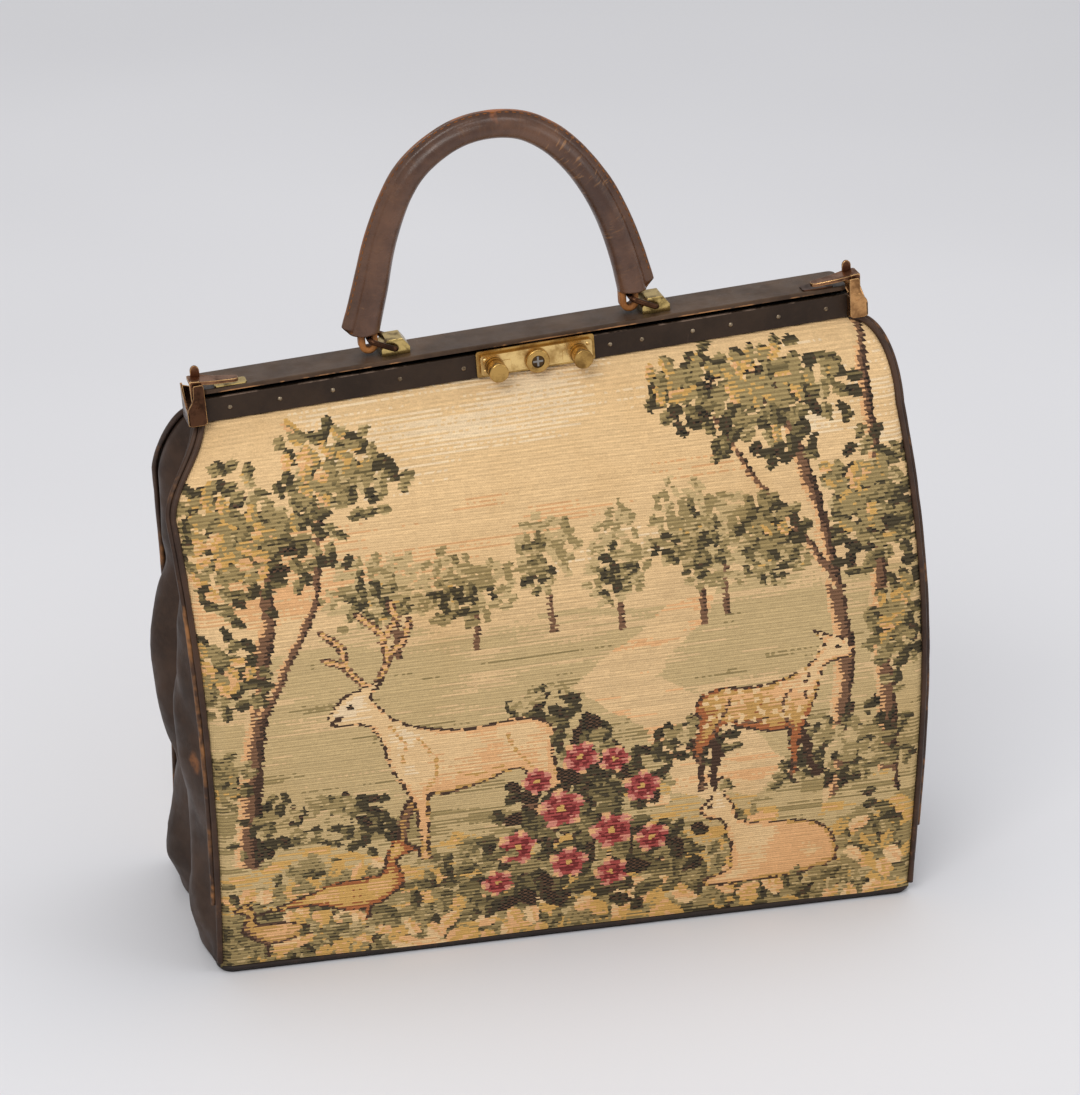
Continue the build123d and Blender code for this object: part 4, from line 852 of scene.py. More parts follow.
class Picture:
    """A grid of coloured threads that is painted layer by layer."""

    def __init__(self, x, y, column, row, seed):
        self.x = x
        self.y = y
        self.column = column
        self.row = row
        self.seed = seed
        self.order = (THREAD_ORDER[row % 4, column % 4] + 0.5) / THREAD_ORDER.size
        self.colours = np.zeros(x.shape + (3,))

    def cloud(self, size, layers, more):
        return clouds_of(size, self.x, self.y, self.seed + more, layers)

    def local(self, place):
        """Threads in a creature's own measure, where its size is 1."""
        (x, y), size, flip = place
        return (self.x - x) * flip / size, (self.y - y) / size

    def lay(self, where, tone, names):
        """Threads from dark to light by a tone of 0 to 1, mixed where the tone lies between two of them."""
        steps = np.array([PALETTE[name] for name in names.split()])
        place = np.clip(tone, 0, 1) * (len(steps) - 1)
        index = np.clip(np.floor(place + self.order), 0, len(steps) - 1).astype(int)
        self.colours[where] = steps[index][where]

    def lay_even(self, where, names, tone=0.5):
        self.lay(where, np.full(self.x.shape, tone), names)

    def leaves(self, density, size, names, seed, light):
        """Leaves, wherever a density is high enough at the leaf's middle."""
        cx, cy, number, along, across = leaf_cells(self.x, self.y, size, self.seed + seed)
        value = density(cx, cy)
        cover = value > 0.35 * number
        reach = size * (0.85 + 0.5 * np.clip(value, 0, 1))
        length, width = LEAF_BLADE_SHARES
        cover &= (along / length) ** 2 + (across / width) ** 2 < reach**2
        tone = 0.55 * scatter(np.floor(cx * 8), np.floor(cy * 8), self.seed + seed + 3)
        tone = tone + 0.30 * (self.cloud(LEAF_CLOUDS, 2, seed + 9) - 0.3) + light
        lit_side, rib = LEAF_RIB_SHARES
        tone = tone + 0.16 * (across > lit_side * size) - 0.10 * (np.abs(across) < rib * size)
        self.lay(cover, tone, names)

    def crown(self, discs, size, threads, seed, light, top=None):
        """Leaves over discs, and a second layer on top of them where one is given."""
        density = blobs(discs)
        self.leaves(density, size, threads, seed, light)
        if top:
            along, up, less, threads, light = top

            def moved(x, y):
                return density(x + along, y + up) - less

            self.leaves(moved, size, threads, seed + TOP_LAYER_SEED, light)

    def figure(self, outline, place, names, shade=0.0):
        """A creature: light above, dark below, with a thin dark edge."""
        x, y = self.local(place)
        size = place[1]
        outline = tuple(map(tuple, smooth_line(outline + outline[:1], 3)[:-1]))
        whole = inside(x, y, outline)
        edge = line_distance(x, y, outline, closed=True)
        centre = sum(point[1] for point in outline) / len(outline)
        tone = 0.66 + 0.45 * (y - centre) - 0.30 * x + 0.35 * (self.cloud(COAT_CLOUDS, 2, 31) - 0.5)
        tone = tone - 0.35 * np.exp(-((edge * size / COAT_EDGE) ** 2)) + shade
        self.lay(whole, tone, names)
        rim = whole & (edge * size < COAT_LINE) & (scatter(self.column, self.row, 77) < 0.80)
        self.lay_even(rim, "umber")

    def strokes(self, lines, place, width, names, tone=0.5):
        x, y = self.local(place)
        for line in lines:
            self.lay_even(line_distance(x, y, line) * place[1] < width, names, tone)

    def trunk(self, line, wide, narrow, names, seed):
        """A tree's stem, light on its left."""
        low = line[0][1]
        high = line[-1][1]
        sway = STEM_SWAY * (cloud(self.y / STEM_SWAY_LENGTH, self.y * 0, self.seed + seed) - 0.5)
        middle = np.interp(self.y, [p[1] for p in line], [p[0] for p in line]) + sway
        share = np.clip((self.y - low) / (high - low), 0, 1)
        half = (wide + (narrow - wide) * share) / 2
        off = (self.x - middle) / half
        where = (np.abs(off) < 1) & (self.y > low) & (self.y < high)
        tone = 0.55 - 0.45 * off + 0.6 * (self.cloud(BARK_CLOUDS, 2, seed) - 0.5)
        self.lay(where, tone, names)

    def rose(self, x, y, radius):
        """A blossom of five round petals."""
        dx = self.x - x
        dy = self.y - y
        far = np.hypot(dx, dy * 1.1) / radius
        petals = np.cos(PETAL_COUNT * (np.arctan2(dy, dx) + x))
        tone = 0.15 + 0.75 * far + 0.22 * petals * (far > 0.35) + 0.12 * (dy > dx) - 0.1
        tone = np.where((far > 0.42) & (far < 0.52), tone - 0.35, tone)
        self.lay(far < 0.86 + 0.14 * petals, tone, PETALS)
        self.lay_even(far < 0.16, "ochre")


def paint_ground(p):
    """Sky, far woods, meadows and a path."""
    sky = 0.35 + 0.9 * (p.cloud(SKY_CLOUDS, 3, 1) - 0.2) + 0.15 * (p.y - SKY_HEIGHT) / SKY_FADE
    p.lay(np.ones(p.x.shape, bool), sky, "sand peach cream cream white")
    horizon = HORIZON + HORIZON_SWAY * (cloud(p.x / HORIZON_SWAY_LENGTH, p.x * 0, p.seed + 2) - 0.5)
    hills = 0.2 + 0.9 * p.cloud(HILL_CLOUDS, 3, 3)
    p.lay(p.y < horizon + HILL_RISE, hills, "moss sand sand cream sand")
    meadow = p.y < horizon - MEADOW_DROP
    streak = p.cloud(MEADOW_CLOUDS, 3, 4)
    grass = 0.05 + 0.75 * streak + 0.28 * ((p.y - MEADOW_LOW) / MEADOW_FADE)
    p.lay(meadow, grass, "fern olive olive moss moss sand cream")
    off = np.abs(p.x - np.interp(p.y, *PATH_LINE) + PATH_SWAY * (streak - 0.5))
    sandy = 0.1 + 0.95 * p.cloud(PATH_CLOUDS, 3, 6)
    path = meadow & (off < np.interp(p.y, *PATH_HALVES))
    p.lay(path, sandy, "moss sand sand cream peach cream")


def paint_trees(p, trees):
    """Stems and crowns, from the far ones to the near ones."""
    for stems, crown in trees:
        for stem in stems:
            p.trunk(*stem)
        p.crown(**crown)


def paint_undergrowth(p, reach):
    """Plants along the foot of the picture, dark below and lit above."""

    def low(x, y):
        line = reach * (0.55 + 0.8 * cloud(x / UNDERGROWTH_SWAY_LENGTH, x * 0, p.seed + 21))
        thick = clouds_of(UNDERGROWTH_CLOUDS, x, y, p.seed + 22, 2)
        return (line - y) / UNDERGROWTH_FADE + 1.2 * (thick - 0.5)

    def lit(x, y):
        return 1.6 * (clouds_of(LIT_CLOUDS, x, y, p.seed + 33, 2) - 0.48) + 0.4 * low(x, y) - 0.3

    ground = 0.2 + 0.9 * p.cloud(SOIL_CLOUDS, 3, 23)
    p.lay(low(p.x, p.y) > -0.1, ground, "fern olive olive moss ochre peach")
    dark_threads = "night bottle fern olive olive moss"
    p.leaves(lambda x, y: low(x, y) - 0.2, UNDERGROWTH_LEAVES[0], dark_threads, 24, 0.12)
    p.leaves(lit, UNDERGROWTH_LEAVES[1], "fern olive ochre ochre peach cream cream", 27, 0.14)


def paint_creatures(p):
    """Deer, a resting fawn and birds."""
    for leg in FAR_LEGS:
        p.figure(leg, STAG_PLACE, "umber bark gold peach", shade=-0.15)
    p.strokes(ANTLERS, STAG_PLACE, ANTLER_WIDTHS[0], "umber bark", tone=0.6)
    p.strokes(ANTLERS, STAG_PLACE, ANTLER_WIDTHS[1], "ochre peach", tone=0.6)
    p.figure(STAG, STAG_PLACE, COAT, shade=0.02)
    p.strokes(MUSCLES, STAG_PLACE, MUSCLE_WIDTHS[0], "gold peach", tone=0.4)
    p.strokes(STAG_EYE, STAG_PLACE, STAG_EYE_WIDTH, "night")
    p.strokes(STAG_NOSE, STAG_PLACE, NOSE_WIDTH, "umber")

    for leg in FAR_LEGS:
        p.figure(leg, DOE_PLACE, "umber umber bark rust", shade=-0.1)
    p.figure(STAG, DOE_PLACE, RED_COAT, shade=0.04)
    p.strokes(MUSCLES, DOE_PLACE, MUSCLE_WIDTHS[1], "umber bark", tone=0.7)
    p.strokes(DOE_EYE, DOE_PLACE, EYE_WIDTH, "night")
    spots = leaf_cells(p.x, p.y, SPOT_SPACING, p.seed + 81)
    x, y = p.local(DOE_PLACE)
    body = inside(x, y, STAG) & (y > SPOTS_ABOVE_SHARE)
    p.lay_even(body & (np.hypot(spots[3], spots[4]) < SPOT_RADIUS), "cream")

    p.figure(FAWN, FAWN_PLACE, COAT, shade=0.05)
    p.strokes(FAWN_EYE, FAWN_PLACE, EYE_WIDTH, "night")
    for place, coat in zip(BIRD_PLACES, BIRD_COATS):
        p.figure(BIRD, place, coat)


def paint_woodland(p):
    """The front picture."""
    paint_ground(p)
    paint_trees(p, FRONT_TREES)
    paint_undergrowth(p, FRONT_UNDERGROWTH)
    paint_creatures(p)
    p.crown(**ROSE_BUSH)
    for rose in ROSES:
        p.rose(*rose)
    tufts = blobs(TUFTS)
    p.leaves(lambda x, y: tufts(x, y) - 0.3, TUFT_LEAVES, TUFT_THREADS, 101, 0.05)


def paint_foliage(p):
    """The back picture: the same wood with nothing in it."""
    paint_ground(p)
    paint_trees(p, BACK_TREES)
    paint_undergrowth(p, BACK_UNDERGROWTH)


def woven(p):
    """The finished threads: every other row is darkened as painted shade of a deeper row, most of all in dark
    colours, and the darkest ground is speckled."""
    bright = p.colours.mean(axis=-1)
    speckle = (bright < SPECKLE_BELOW) & ((p.column + p.row) % 2 == 0)
    p.colours[speckle] = p.colours[speckle] * 0.5 + np.array(PALETTE["bark"]) * 0.5
    # Painted shade: every other row is darkened, more in dark colours.
    row_shade = (p.row % 2 - 0.5) * (0.10 + 0.34 * smooth(0, 0.5, 0.55 - bright))
    tone = (1 + row_shade) * (1 + 0.12 * (scatter(p.column // 2, p.row, p.seed) - 0.5))
    tone = tone * (0.96 + 0.08 * scatter(p.row, p.row * 0, p.seed + 1))
    return np.clip(p.colours * tone[..., None], 0, 1)


# Panels: a fine outer sheet with the picture, a coarser lining and a rim between them
CELL_WIDTH = 1.9
CELL_HEIGHT = 1.1
EDGE_ROLL = 2.2  # how far the cloth turns in beside the welts
EDGE_ROLL_WIDTH = 3.5
TOP_TUCK = 1.4  # how far it lies behind the strip's face
TOP_TUCK_HEIGHT = 16.0
GATHER_SHARES = (0.72, 0.95)
GATHER_END_SHARE = 0.03
PLEAT_SIZE = (34.0, 140.0)
PLEAT_DEPTH = 0.7
RIPPLE_SIZE = (90.0, 70.0)
RIPPLE_DEPTH = 1.1
RIPPLE_MARGINS = (30.0, 25.0)  # from the side edges and from the top
THREAD_STAGGER_SHARE = 0.4  # of a cell, so that threads end unevenly


def panel_grid(columns, rows, inset, seed, front, stagger=0.0):
    """Points of a panel's sheet, staggered along the threads by a share of a cell."""
    across = np.linspace(0, 1, columns + 1)[None, :]
    up = np.linspace(0, 1, rows + 1)[:, None]
    column, row = np.meshgrid(np.arange(columns + 1), np.arange(rows + 1))
    within = (column > 0) & (column < columns) & (row > 0) & (row < rows)
    across = across + within * stagger * (2 * scatter(column, row, seed + 9) - 1) / columns
    ends = []
    for side in SIDES.values():
        z = BASE_THICKNESS + up * (frame_end(side)[1] - BASE_THICKNESS)
        ends.append((edge_x(z, side, front=front), z))
    (left_x, left_z), (right_x, right_z) = ends
    x = left_x + across * (right_x - left_x)
    z = left_z + across * (right_z - left_z)
    share = np.clip(z / top_height(x), 0, 1)
    to_edge = np.minimum(across, 1 - across) * (right_x - left_x)
    to_top = (1 - share) * top_height(x)
    depth = half_depth(share) - inset
    depth = depth - EDGE_ROLL * np.exp(-((to_edge / EDGE_ROLL_WIDTH) ** 2))
    depth = depth - TOP_TUCK * np.exp(-((to_top / TOP_TUCK_HEIGHT) ** 2))
    gathered = smooth(*GATHER_SHARES, share) * smooth(0, GATHER_END_SHARE, 1 - share)
    pleats = swing(cloud(x / PLEAT_SIZE[0], z / PLEAT_SIZE[1], seed))
    depth = depth + PLEAT_DEPTH * pleats * gathered
    ripples = swing(clouds_of(RIPPLE_SIZE, x, z, seed + 5, 2))
    free = smooth(0, RIPPLE_MARGINS[0], to_edge) * smooth(0, RIPPLE_MARGINS[1], to_top)
    return x, depth + RIPPLE_DEPTH * ripples * free, z


def weave_colours(panel, outer, corner_count, front, seed, painter):
    """Paints the picture on the outer sheet's faces, which come first, and leaves all other corners white."""
    rows, columns = outer.shape[0] - 1, outer.shape[1] - 1
    column, row = np.meshgrid(np.arange(columns), np.arange(rows))
    middle = (outer[:-1, :-1] + outer[1:, 1:]) / 2
    picture_x = middle[..., 0] - lean(middle[..., 2])
    picture_y = middle[..., 2] / top_height(middle[..., 0]) * FRAME_HEIGHT
    picture = Picture(-front * picture_x, picture_y, column, row, seed)
    painter(picture)
    corners = np.ones((corner_count, 4), np.float32)
    corners[: 4 * rows * columns, :3] = np.repeat(woven(picture).reshape(-1, 3), 4, axis=0)
    layer = panel.data.color_attributes.new("weave", "FLOAT_COLOR", "CORNER")
    layer.data.foreach_set("color", corners.ravel())


def make_panel(name, front, body, seed, painter):
    """One tapestry panel with its lining."""
    columns = 2 * round(BODY_WIDTH / CELL_WIDTH / 2)
    rows = 2 * round(FRAME_HEIGHT / CELL_HEIGHT / 2)
    is_front = float(front < 0)
    x, depth, z = panel_grid(columns, rows, 0.0, seed, is_front, THREAD_STAGGER_SHARE)
    outer = np.stack([x, front * depth, z], axis=-1)
    x, depth, z = panel_grid(columns // 2, rows // 2, PANEL_THICKNESS, seed, is_front)
    inner = np.stack([x, front * depth, z], axis=-1)
    points = np.vstack([outer.reshape(-1, 3), inner.reshape(-1, 3)])
    inner_start = outer.shape[0] * outer.shape[1]
    faces = grid_faces(rows + 1, columns + 1, 0, flip=front > 0)
    kinds = [0] * len(faces)
    faces += grid_faces(rows // 2 + 1, columns // 2 + 1, inner_start, flip=front < 0)
    kinds += [1] * (len(faces) - len(kinds))

    outer_rim = rim_places(rows + 1, columns + 1)
    inner_rim = [inner_start + k for k in rim_places(rows // 2 + 1, columns // 2 + 1)]
    for k, low in enumerate(inner_rim):
        a = outer_rim[2 * k]
        b = outer_rim[2 * k + 1]
        c = outer_rim[(2 * k + 2) % len(outer_rim)]
        high = inner_rim[(k + 1) % len(inner_rim)]
        for face in ((b, a, low), (b, low, high), (c, b, high)):
            faces.append(face[::-1] if front > 0 else face)
            kinds.append(2)
    finishes = [tapestry, lining, leathers["welt_leather"]]
    panel = mesh_piece(name, points, faces, body, finishes, kinds)
    weave_colours(panel, outer, sum(len(face) for face in faces), front, seed, painter)
    return panel


front_panel = make_panel("front_tapestry", -1, None, 11, paint_woodland)
back_panel = make_panel("back_tapestry", 1, "bag", 47, paint_foliage)
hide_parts("front_panel")
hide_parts("back_panel")

# Gussets: leather ends that fold in below the frame, full and creased
GUSSET_THICKNESS = 2.0
GUSSET_TOP_DROP = 4.0
GUSSET_SEAM = 1.2
FOLD_REACH = 191.5  # where the fold lies along the frame
FOLD_SHARPNESS = 1.5
FOLD_POWER = 2.0
GUSSET_ROWS = 130
GUSSET_COLUMNS = 96
BULGE_SHIFTS = (-9.0, 0.0, 9.0)  # the bulges are averaged over these, to round them
BULGE_HEIGHTS = (0.0, 12.0, 32.0, 60.0, 83.0, 120.0, 160.0, 190.0, 212.0, 250.0, 320.0)
BULGE_SIZES = {
    "left": (4.0, 10.0, 16.0, 8.5, 9.0, 19.0, 22.5, 16.0, 9.0, 6.0, 1.5),
    "right": (4.0, 8.0, 9.0, 8.0, 9.5, 12.0, 11.0, 9.0, 8.0, 5.0, 1.5),
}
BULGE_POWER = 1.6
BULGE_MIDDLE_SHARE = 0.85
BULGE_REAR_SHARE = 0.15  # more behind and less in front
CREASES = (  # start and end across (-1 front, 1 back) and up as shares, then size and width in millimetres
    (-0.98, 0.02, -0.05, 0.42, 3.0, 9.0),
    (-0.05, 0.42, 0.30, 0.80, 2.0, 8.0),
    (0.35, 0.30, 0.98, 0.24, -3.2, 9.0),
    (0.30, 0.70, 0.98, 0.66, -3.0, 10.0),
    (-0.90, 0.46, -0.35, 0.60, -1.6, 7.0),
    (-0.95, 0.72, -0.30, 0.62, 1.8, 8.0),
    (0.15, 0.12, 0.75, 0.05, 1.6, 8.0),
)
CREASE_END_SHARES = (0.08, 0.92)
LUMP_SIZE = (42.0, 60.0)
LUMP_DEPTH = 1.1
LUMP_STEP = 7  # sets the lumps of the two ends apart
ARM_SHARE = 0.30  # the jaws' arms press the middle flat
ARM_HEIGHTS = (170.0, 220.0)
SEAM_SHARE = 0.12
RUBBED_LUMPS = (0.5, 2.5)
RUBBED_SIZE = (24.0, 30.0)
RUBBED_PATCH = ((-54.0, 7.0), (128.0, 12.0))  # middle and reach, from front to back and up


def fold_depth(z, side, edge):
    """How far a gusset folds in from its edge at a height."""
    height = (z - FRAME_HEIGHT - side * FOLD_REACH * sin(FRAME_TILT)) / cos(FRAME_TILT)
    valley = FRAME_SHIFT + side * FOLD_REACH * cos(FRAME_TILT) - height * sin(FRAME_TILT)
    hinge = FRAME_HEIGHT + side * HALF_JAW * sin(FRAME_TILT) - HINGE_DROP * cos(FRAME_TILT)
    return np.abs(edge - valley) * np.clip(z / hinge, 0, 1) ** FOLD_POWER


def gusset_lumps(share, y, z, side, top):
    """Creases and soft lumps of a gusset, none at its seams or beside the jaws' arms."""
    lumps = np.zeros(z.shape)
    for x0, z0, x1, z1, size, width in CREASES:
        run = np.array([(x1 - x0) * BODY_DEPTH / 2, (z1 - z0) * top])
        from_x = (share - x0) * BODY_DEPTH / 2
        from_z = z - z0 * top
        t = np.clip((from_x * run[0] + from_z * run[1]) / (run @ run), 0, 1)
        off = np.hypot(from_x - t * run[0], from_z - t * run[1])
        lumps += size * np.exp(-((off / width) ** 2)) * np.sin(pi * np.clip(t, *CREASE_END_SHARES))
    lumps += LUMP_DEPTH * swing(clouds(y / LUMP_SIZE[0] + side * LUMP_STEP, z / LUMP_SIZE[1], 71, 2))
    near_arms = np.exp(-((share / ARM_SHARE) ** 2)) * smooth(*ARM_HEIGHTS, z)
    return lumps * ((1 - near_arms) * smooth(0.0, SEAM_SHARE, 1 - np.abs(share)))


def make_gusset(name):
    """One folded end with its inner face."""
    side = SIDES[name]
    top = frame_end(side)[1] - GUSSET_TOP_DROP
    up = np.linspace(0, 1, GUSSET_ROWS + 1)[:, None]
    share = np.linspace(-1, 1, GUSSET_COLUMNS + 1)[None, :]
    z = BASE_THICKNESS + up * (top - BASE_THICKNESS) + 0 * share
    edge = edge_x(z, side, front=(1 - share) / 2)
    reach = half_depth(z / top_height(edge)) - PANEL_THICKNESS - GUSSET_SEAM
    y = share * reach
    bulge = sum(np.interp(z + shift, BULGE_HEIGHTS, BULGE_SIZES[name]) for shift in BULGE_SHIFTS)
    bulge = bulge / len(BULGE_SHIFTS)
    rear_heavy = BULGE_MIDDLE_SHARE + BULGE_REAR_SHARE * share
    full = bulge * np.abs(np.sin(pi * share)) ** BULGE_POWER * rear_heavy
    fold = fold_depth(z, side, edge) * ((1 + np.cos(pi * share)) / 2) ** FOLD_SHARPNESS
    lumps = gusset_lumps(share, y, z, side, top)
    outer = np.stack([edge + side * (full - fold + lumps), y, z], axis=-1)
    normal = np.cross(np.gradient(outer, axis=1), np.gradient(outer, axis=0))
    normal /= np.linalg.norm(normal, axis=-1)[..., None]
    normal *= np.sign(normal[..., :1]) * side
    inner = outer - normal * GUSSET_THICKNESS
    inner[..., 1] = np.clip(inner[..., 1], -reach, reach)
    inner[..., 2] = z
    rows, columns = z.shape
    start = z.size
    points = np.vstack([outer.reshape(-1, 3), inner.reshape(-1, 3)])
    faces = grid_faces(rows, columns, 0, flip=side < 0)
    faces += grid_faces(rows, columns, start, flip=side > 0)
    rim = rim_places(rows, columns)
    for k, here in enumerate(rim):
        after = rim[(k + 1) % len(rim)]
        face = (after, here, start + here, start + after)
        faces.append(face if side > 0 else face[::-1])
    finishes = [leathers["gusset_leather"]]
    piece = mesh_piece(f"{name}_leather_end", points, faces, None, finishes)
    wear = 0.30 * smooth(*RUBBED_LUMPS, lumps)
    wear = wear + 0.25 * (clouds_of(RUBBED_SIZE, y, z, 91, 3) - 0.35)
    (patch_y, reach_y), (patch_z, reach_z) = RUBBED_PATCH
    patch = np.exp(-(((y - patch_y) / reach_y) ** 2) - (((z - patch_z) / reach_z) ** 2))
    wear = wear + 0.7 * patch * (side < 0)
    point_layer(piece, np.concatenate([wear.ravel(), np.zeros(z.size)]))
    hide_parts(f"{name}_gusset")
    return piece


gussets = {name: make_gusset(name) for name in SIDES}

# Welts: two ridges of leather beside each panel, and piping along the base
WELT_RIDGES = (  # beyond the edge, behind the panel's face, radius, start above the base
    (0.4, 1.2, 1.7, 4.0),
    (2.7, 3.6, 1.7, 42.0),
)
WELT_SWELL_SHARE = 0.16
WELT_SWELL_LENGTH = 9.0
WELT_WEAR_LENGTHS = (26.0, 3.0)
RUBBED_HEIGHT = 165.0  # where the front left piping is rubbed most
RUBBED_REACH = 55.0
WELT_STEPS = 120
SHOULDER_STEPS = 40
WELT_SIDES = 12
BASE_WELT_RADIUS = 1.6
BASE_WELT_SIDES = 10
BASE_WELT_STEP = 6.0
BASE_CORNER_STEPS = 9
BASE_WEAR_STEPS = 4.0


def welt_heights(side, start):
    """Heights along an edge from a start above the base, closer together round the shoulder."""
    shoulder = frame_end(side)[1] - SHOULDER_DROP
    straight = np.linspace(BASE_THICKNESS + start, shoulder, WELT_STEPS, endpoint=False)
    turns = np.linspace(0, pi / 2, SHOULDER_STEPS)
    return np.concatenate([straight, shoulder + SHOULDER_DROP * np.sin(turns) ** (2 / SHOULDER_POWER)])


def make_welt(name, front):
    """The ridges up one edge of a panel, the outer one rubbed tan."""
    side = SIDES[name]
    points = []
    faces = []
    wear = []
    for ridge, (beyond, behind, radius, start) in enumerate(WELT_RIDGES):
        heights = welt_heights(side, start)
        x = edge_x(heights, side, beyond, front=float(front < 0))
        depth = half_depth(np.clip(heights / top_height(x), 0, 1)) - behind
        path = np.stack([x, front * depth, heights], axis=-1)
        swell = cloud(heights / WELT_SWELL_LENGTH, heights * 0, 17 + ridge) - 0.5
        add_tube(points, faces, path, radius * (1 + WELT_SWELL_SHARE * swell), WELT_SIDES)
        angle = np.tile(np.arange(WELT_SIDES), len(heights)) * 2 * pi / WELT_SIDES
        along = np.repeat(heights, WELT_SIDES)
        rubbed = clouds(along / WELT_WEAR_LENGTHS[0], angle * 0, 29 + ridge, 3)
        rubbed = rubbed + 0.35 * (cloud(along / WELT_WEAR_LENGTHS[1], angle, 23) - 0.5)
        rubbed = rubbed * (0.55 + 0.20 * ridge)
        if front < 0 and side < 0:
            rubbed = rubbed + 0.22 * ridge * np.exp(-(((along - RUBBED_HEIGHT) / RUBBED_REACH) ** 2))
        wear += rubbed.tolist() + [0.0, 0.0]
    label = "front" if front < 0 else "back"
    body = None if front < 0 else "bag"
    finishes = [leathers["welt_leather"]]
    piece = mesh_piece(f"{label}_{name}_piping", points, faces, body, finishes)
    point_layer(piece, wear)
    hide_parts(f"{label}_{name}_welt")
    return piece


def base_line():
    """Outline of the base in short steps."""
    corners = []
    for quarter, (side_x, side_y) in enumerate(((1, 1), (-1, 1), (-1, -1), (1, -1))):
        middle_x = side_x * (BODY_WIDTH / 2 - BASE_CORNER_RADIUS)
        middle_y = side_y * (BODY_DEPTH / 2 - BASE_CORNER_RADIUS)
        for angle in np.linspace(quarter * pi / 2, (quarter + 1) * pi / 2, BASE_CORNER_STEPS):
            corner = (middle_x + BASE_CORNER_RADIUS * cos(angle), middle_y + BASE_CORNER_RADIUS * sin(angle))
            corners.append(np.array(corner))
    line = []
    for here, after in zip(corners, corners[1:] + corners[:1]):
        count = max(1, int(np.hypot(*(after - here)) / BASE_WELT_STEP))
        for step in range(count):
            line.append(here + (after - here) * step / count)
    return np.array(line)


def make_base_welt():
    """Piping round the base, under the panels."""
    line = base_line()
    tangent = np.roll(line, -1, axis=0) - np.roll(line, 1, axis=0)
    tangent /= np.linalg.norm(tangent, axis=1)[:, None]
    out = np.stack([tangent[:, 1], -tangent[:, 0]], axis=1)
    rings = []
    for angle in np.linspace(0, 2 * pi, BASE_WELT_SIDES, endpoint=False):
        flat = line + out * BASE_WELT_RADIUS * cos(angle)
        height = BASE_THICKNESS + BASE_WELT_RADIUS * sin(angle) + 0 * flat[:, :1]
        rings.append(np.concatenate([flat, height], axis=1))
    points = np.stack(rings, axis=1).reshape(-1, 3)
    faces = grid_faces(len(line), BASE_WELT_SIDES, closed=True, looped=True)
    piece = mesh_piece("base_piping", points, faces, "bag", [leathers["base_leather"]])
    place = np.arange(len(points)) // BASE_WELT_SIDES
    point_layer(piece, 0.15 + 0.4 * clouds(place / BASE_WEAR_STEPS, place * 0, 37, 3))


front_welts = [make_welt(name, -1) for name in SIDES]
for name in SIDES:
    make_welt(name, 1)
make_base_welt()


for piece in [front_panel, *front_welts]:
    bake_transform(piece)
for name, piece in gussets.items():
    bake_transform(piece)

# Handle: a rolled leather sleeve with a flat stitched welt outside, on leather loops
MOUNT_SPACING = 150.0
EYE_HEIGHT = 4.4
RING_REACH = 15.6
RING_LEAN = radians(26.0)
SLEEVE_RADIUS = 6.3
SLEEVE_END_RADIUS = 8.1
SLEEVE_TAPER_POWER = 1.6
SLEEVE_WALL = 1.6
SLEEVE_END_RISE = 2.4
SLEEVE_DENT = 0.35
DENT_LENGTH = 16.0
DENTS_AROUND = 1.5
WELT_FIN_HEIGHT = 3.4
WELT_FIN_END_HEIGHT = 5.4
WELT_FIN_HALF = 1.5
WELT_FIN_SLANT = 5.0
WELT_FIN_FILLET = 0.9
FIN_FOOT = ((0.5, 0.0), (1.6, 0.1))  # out from the roll, in from the welt's face
FIN_TIP = ((0.8, 0.1), (0.2, 0.35), (0.0, 1.0))  # in from the welt's rim, in from its face
RIM_WIDTH = 0.3
SLEEVE_SECTION = 56
FIN_POINTS = 2 * len(FIN_FOOT + FIN_TIP)
LEG_STEPS = 70
CROWN_STEPS = 150
LEG_SHARE = 0.22
BORE_DEPTH = 11.0
CROWN_WEAR_SHARES = (0.515, 0.012)  # middle and reach along the handle
CROWN_WEAR_LENGTH = 3.0
CROWN_WEAR_AROUND = 3
RIM_WEAR_LENGTH = 7.0
STITCH_PITCH = 3.6
STITCH_LENGTH = 2.3
STITCH_RADIUS = 0.34
STITCH_INSET = 1.2
STITCH_SUNK = 0.05
STITCH_MARGIN = 8.0
STITCH_SIDES = 6
STITCH_BENDS = ((-0.5, 0.35), (-0.25, 0.0), (0.25, 0.0), (0.5, 0.35))  # share of its length, how deep it lies
STITCH_WIDTH_SHARES = (0.7, 1.0, 1.0, 0.7)
TAB_WIDTH = 7.0
TAB_HALF_LENGTH = 3.5
TAB_STRAP_HALF = 1.7
TAB_DROP = 8.0
TAB_SOFT = 0.45
TAB_STRAP = ((3.0, 10.5), (3.2, 6.0), (TAB_HALF_LENGTH, 3.0), (TAB_HALF_LENGTH, 0.4))
TAB_BEND_START = 0.4
TAB_BEND_STEPS = 4
TAB_LINE_STEPS = 5

HANDLE_POINTS = (  # middle line of the sleeve: along the frame from its middle, and up from the rings' bars
    (-77.0, 0.0), (-69.2, 25.0), (-61.0, 53.0), (-50.5, 77.0), (-39.0, 92.3), (-23.0, 103.3), (-8.0, 108.3),
    (8.0, 108.8), (23.0, 105.0), (37.0, 95.5), (49.0, 82.0), (58.8, 66.0), (67.0, 47.0), (73.2, 25.0),
    (78.0, 0.0),
)
HANDLE_LINE_STEPS = 12
ring_height = PLATE_TOP + EYE_HEIGHT + RING_REACH * sin(RING_LEAN)
handle_middle = -RING_REACH * cos(RING_LEAN)
handle_line = smooth_line(HANDLE_POINTS, HANDLE_LINE_STEPS)
handle_runs = np.concatenate([[0], np.cumsum(np.linalg.norm(np.diff(handle_line, axis=0), axis=1))])
handle_length = float(handle_runs[-1])
handle_tangents = np.gradient(handle_line, handle_runs, axis=0)
leg_length = LEG_SHARE * handle_length
crown_length = handle_length - 2 * leg_length


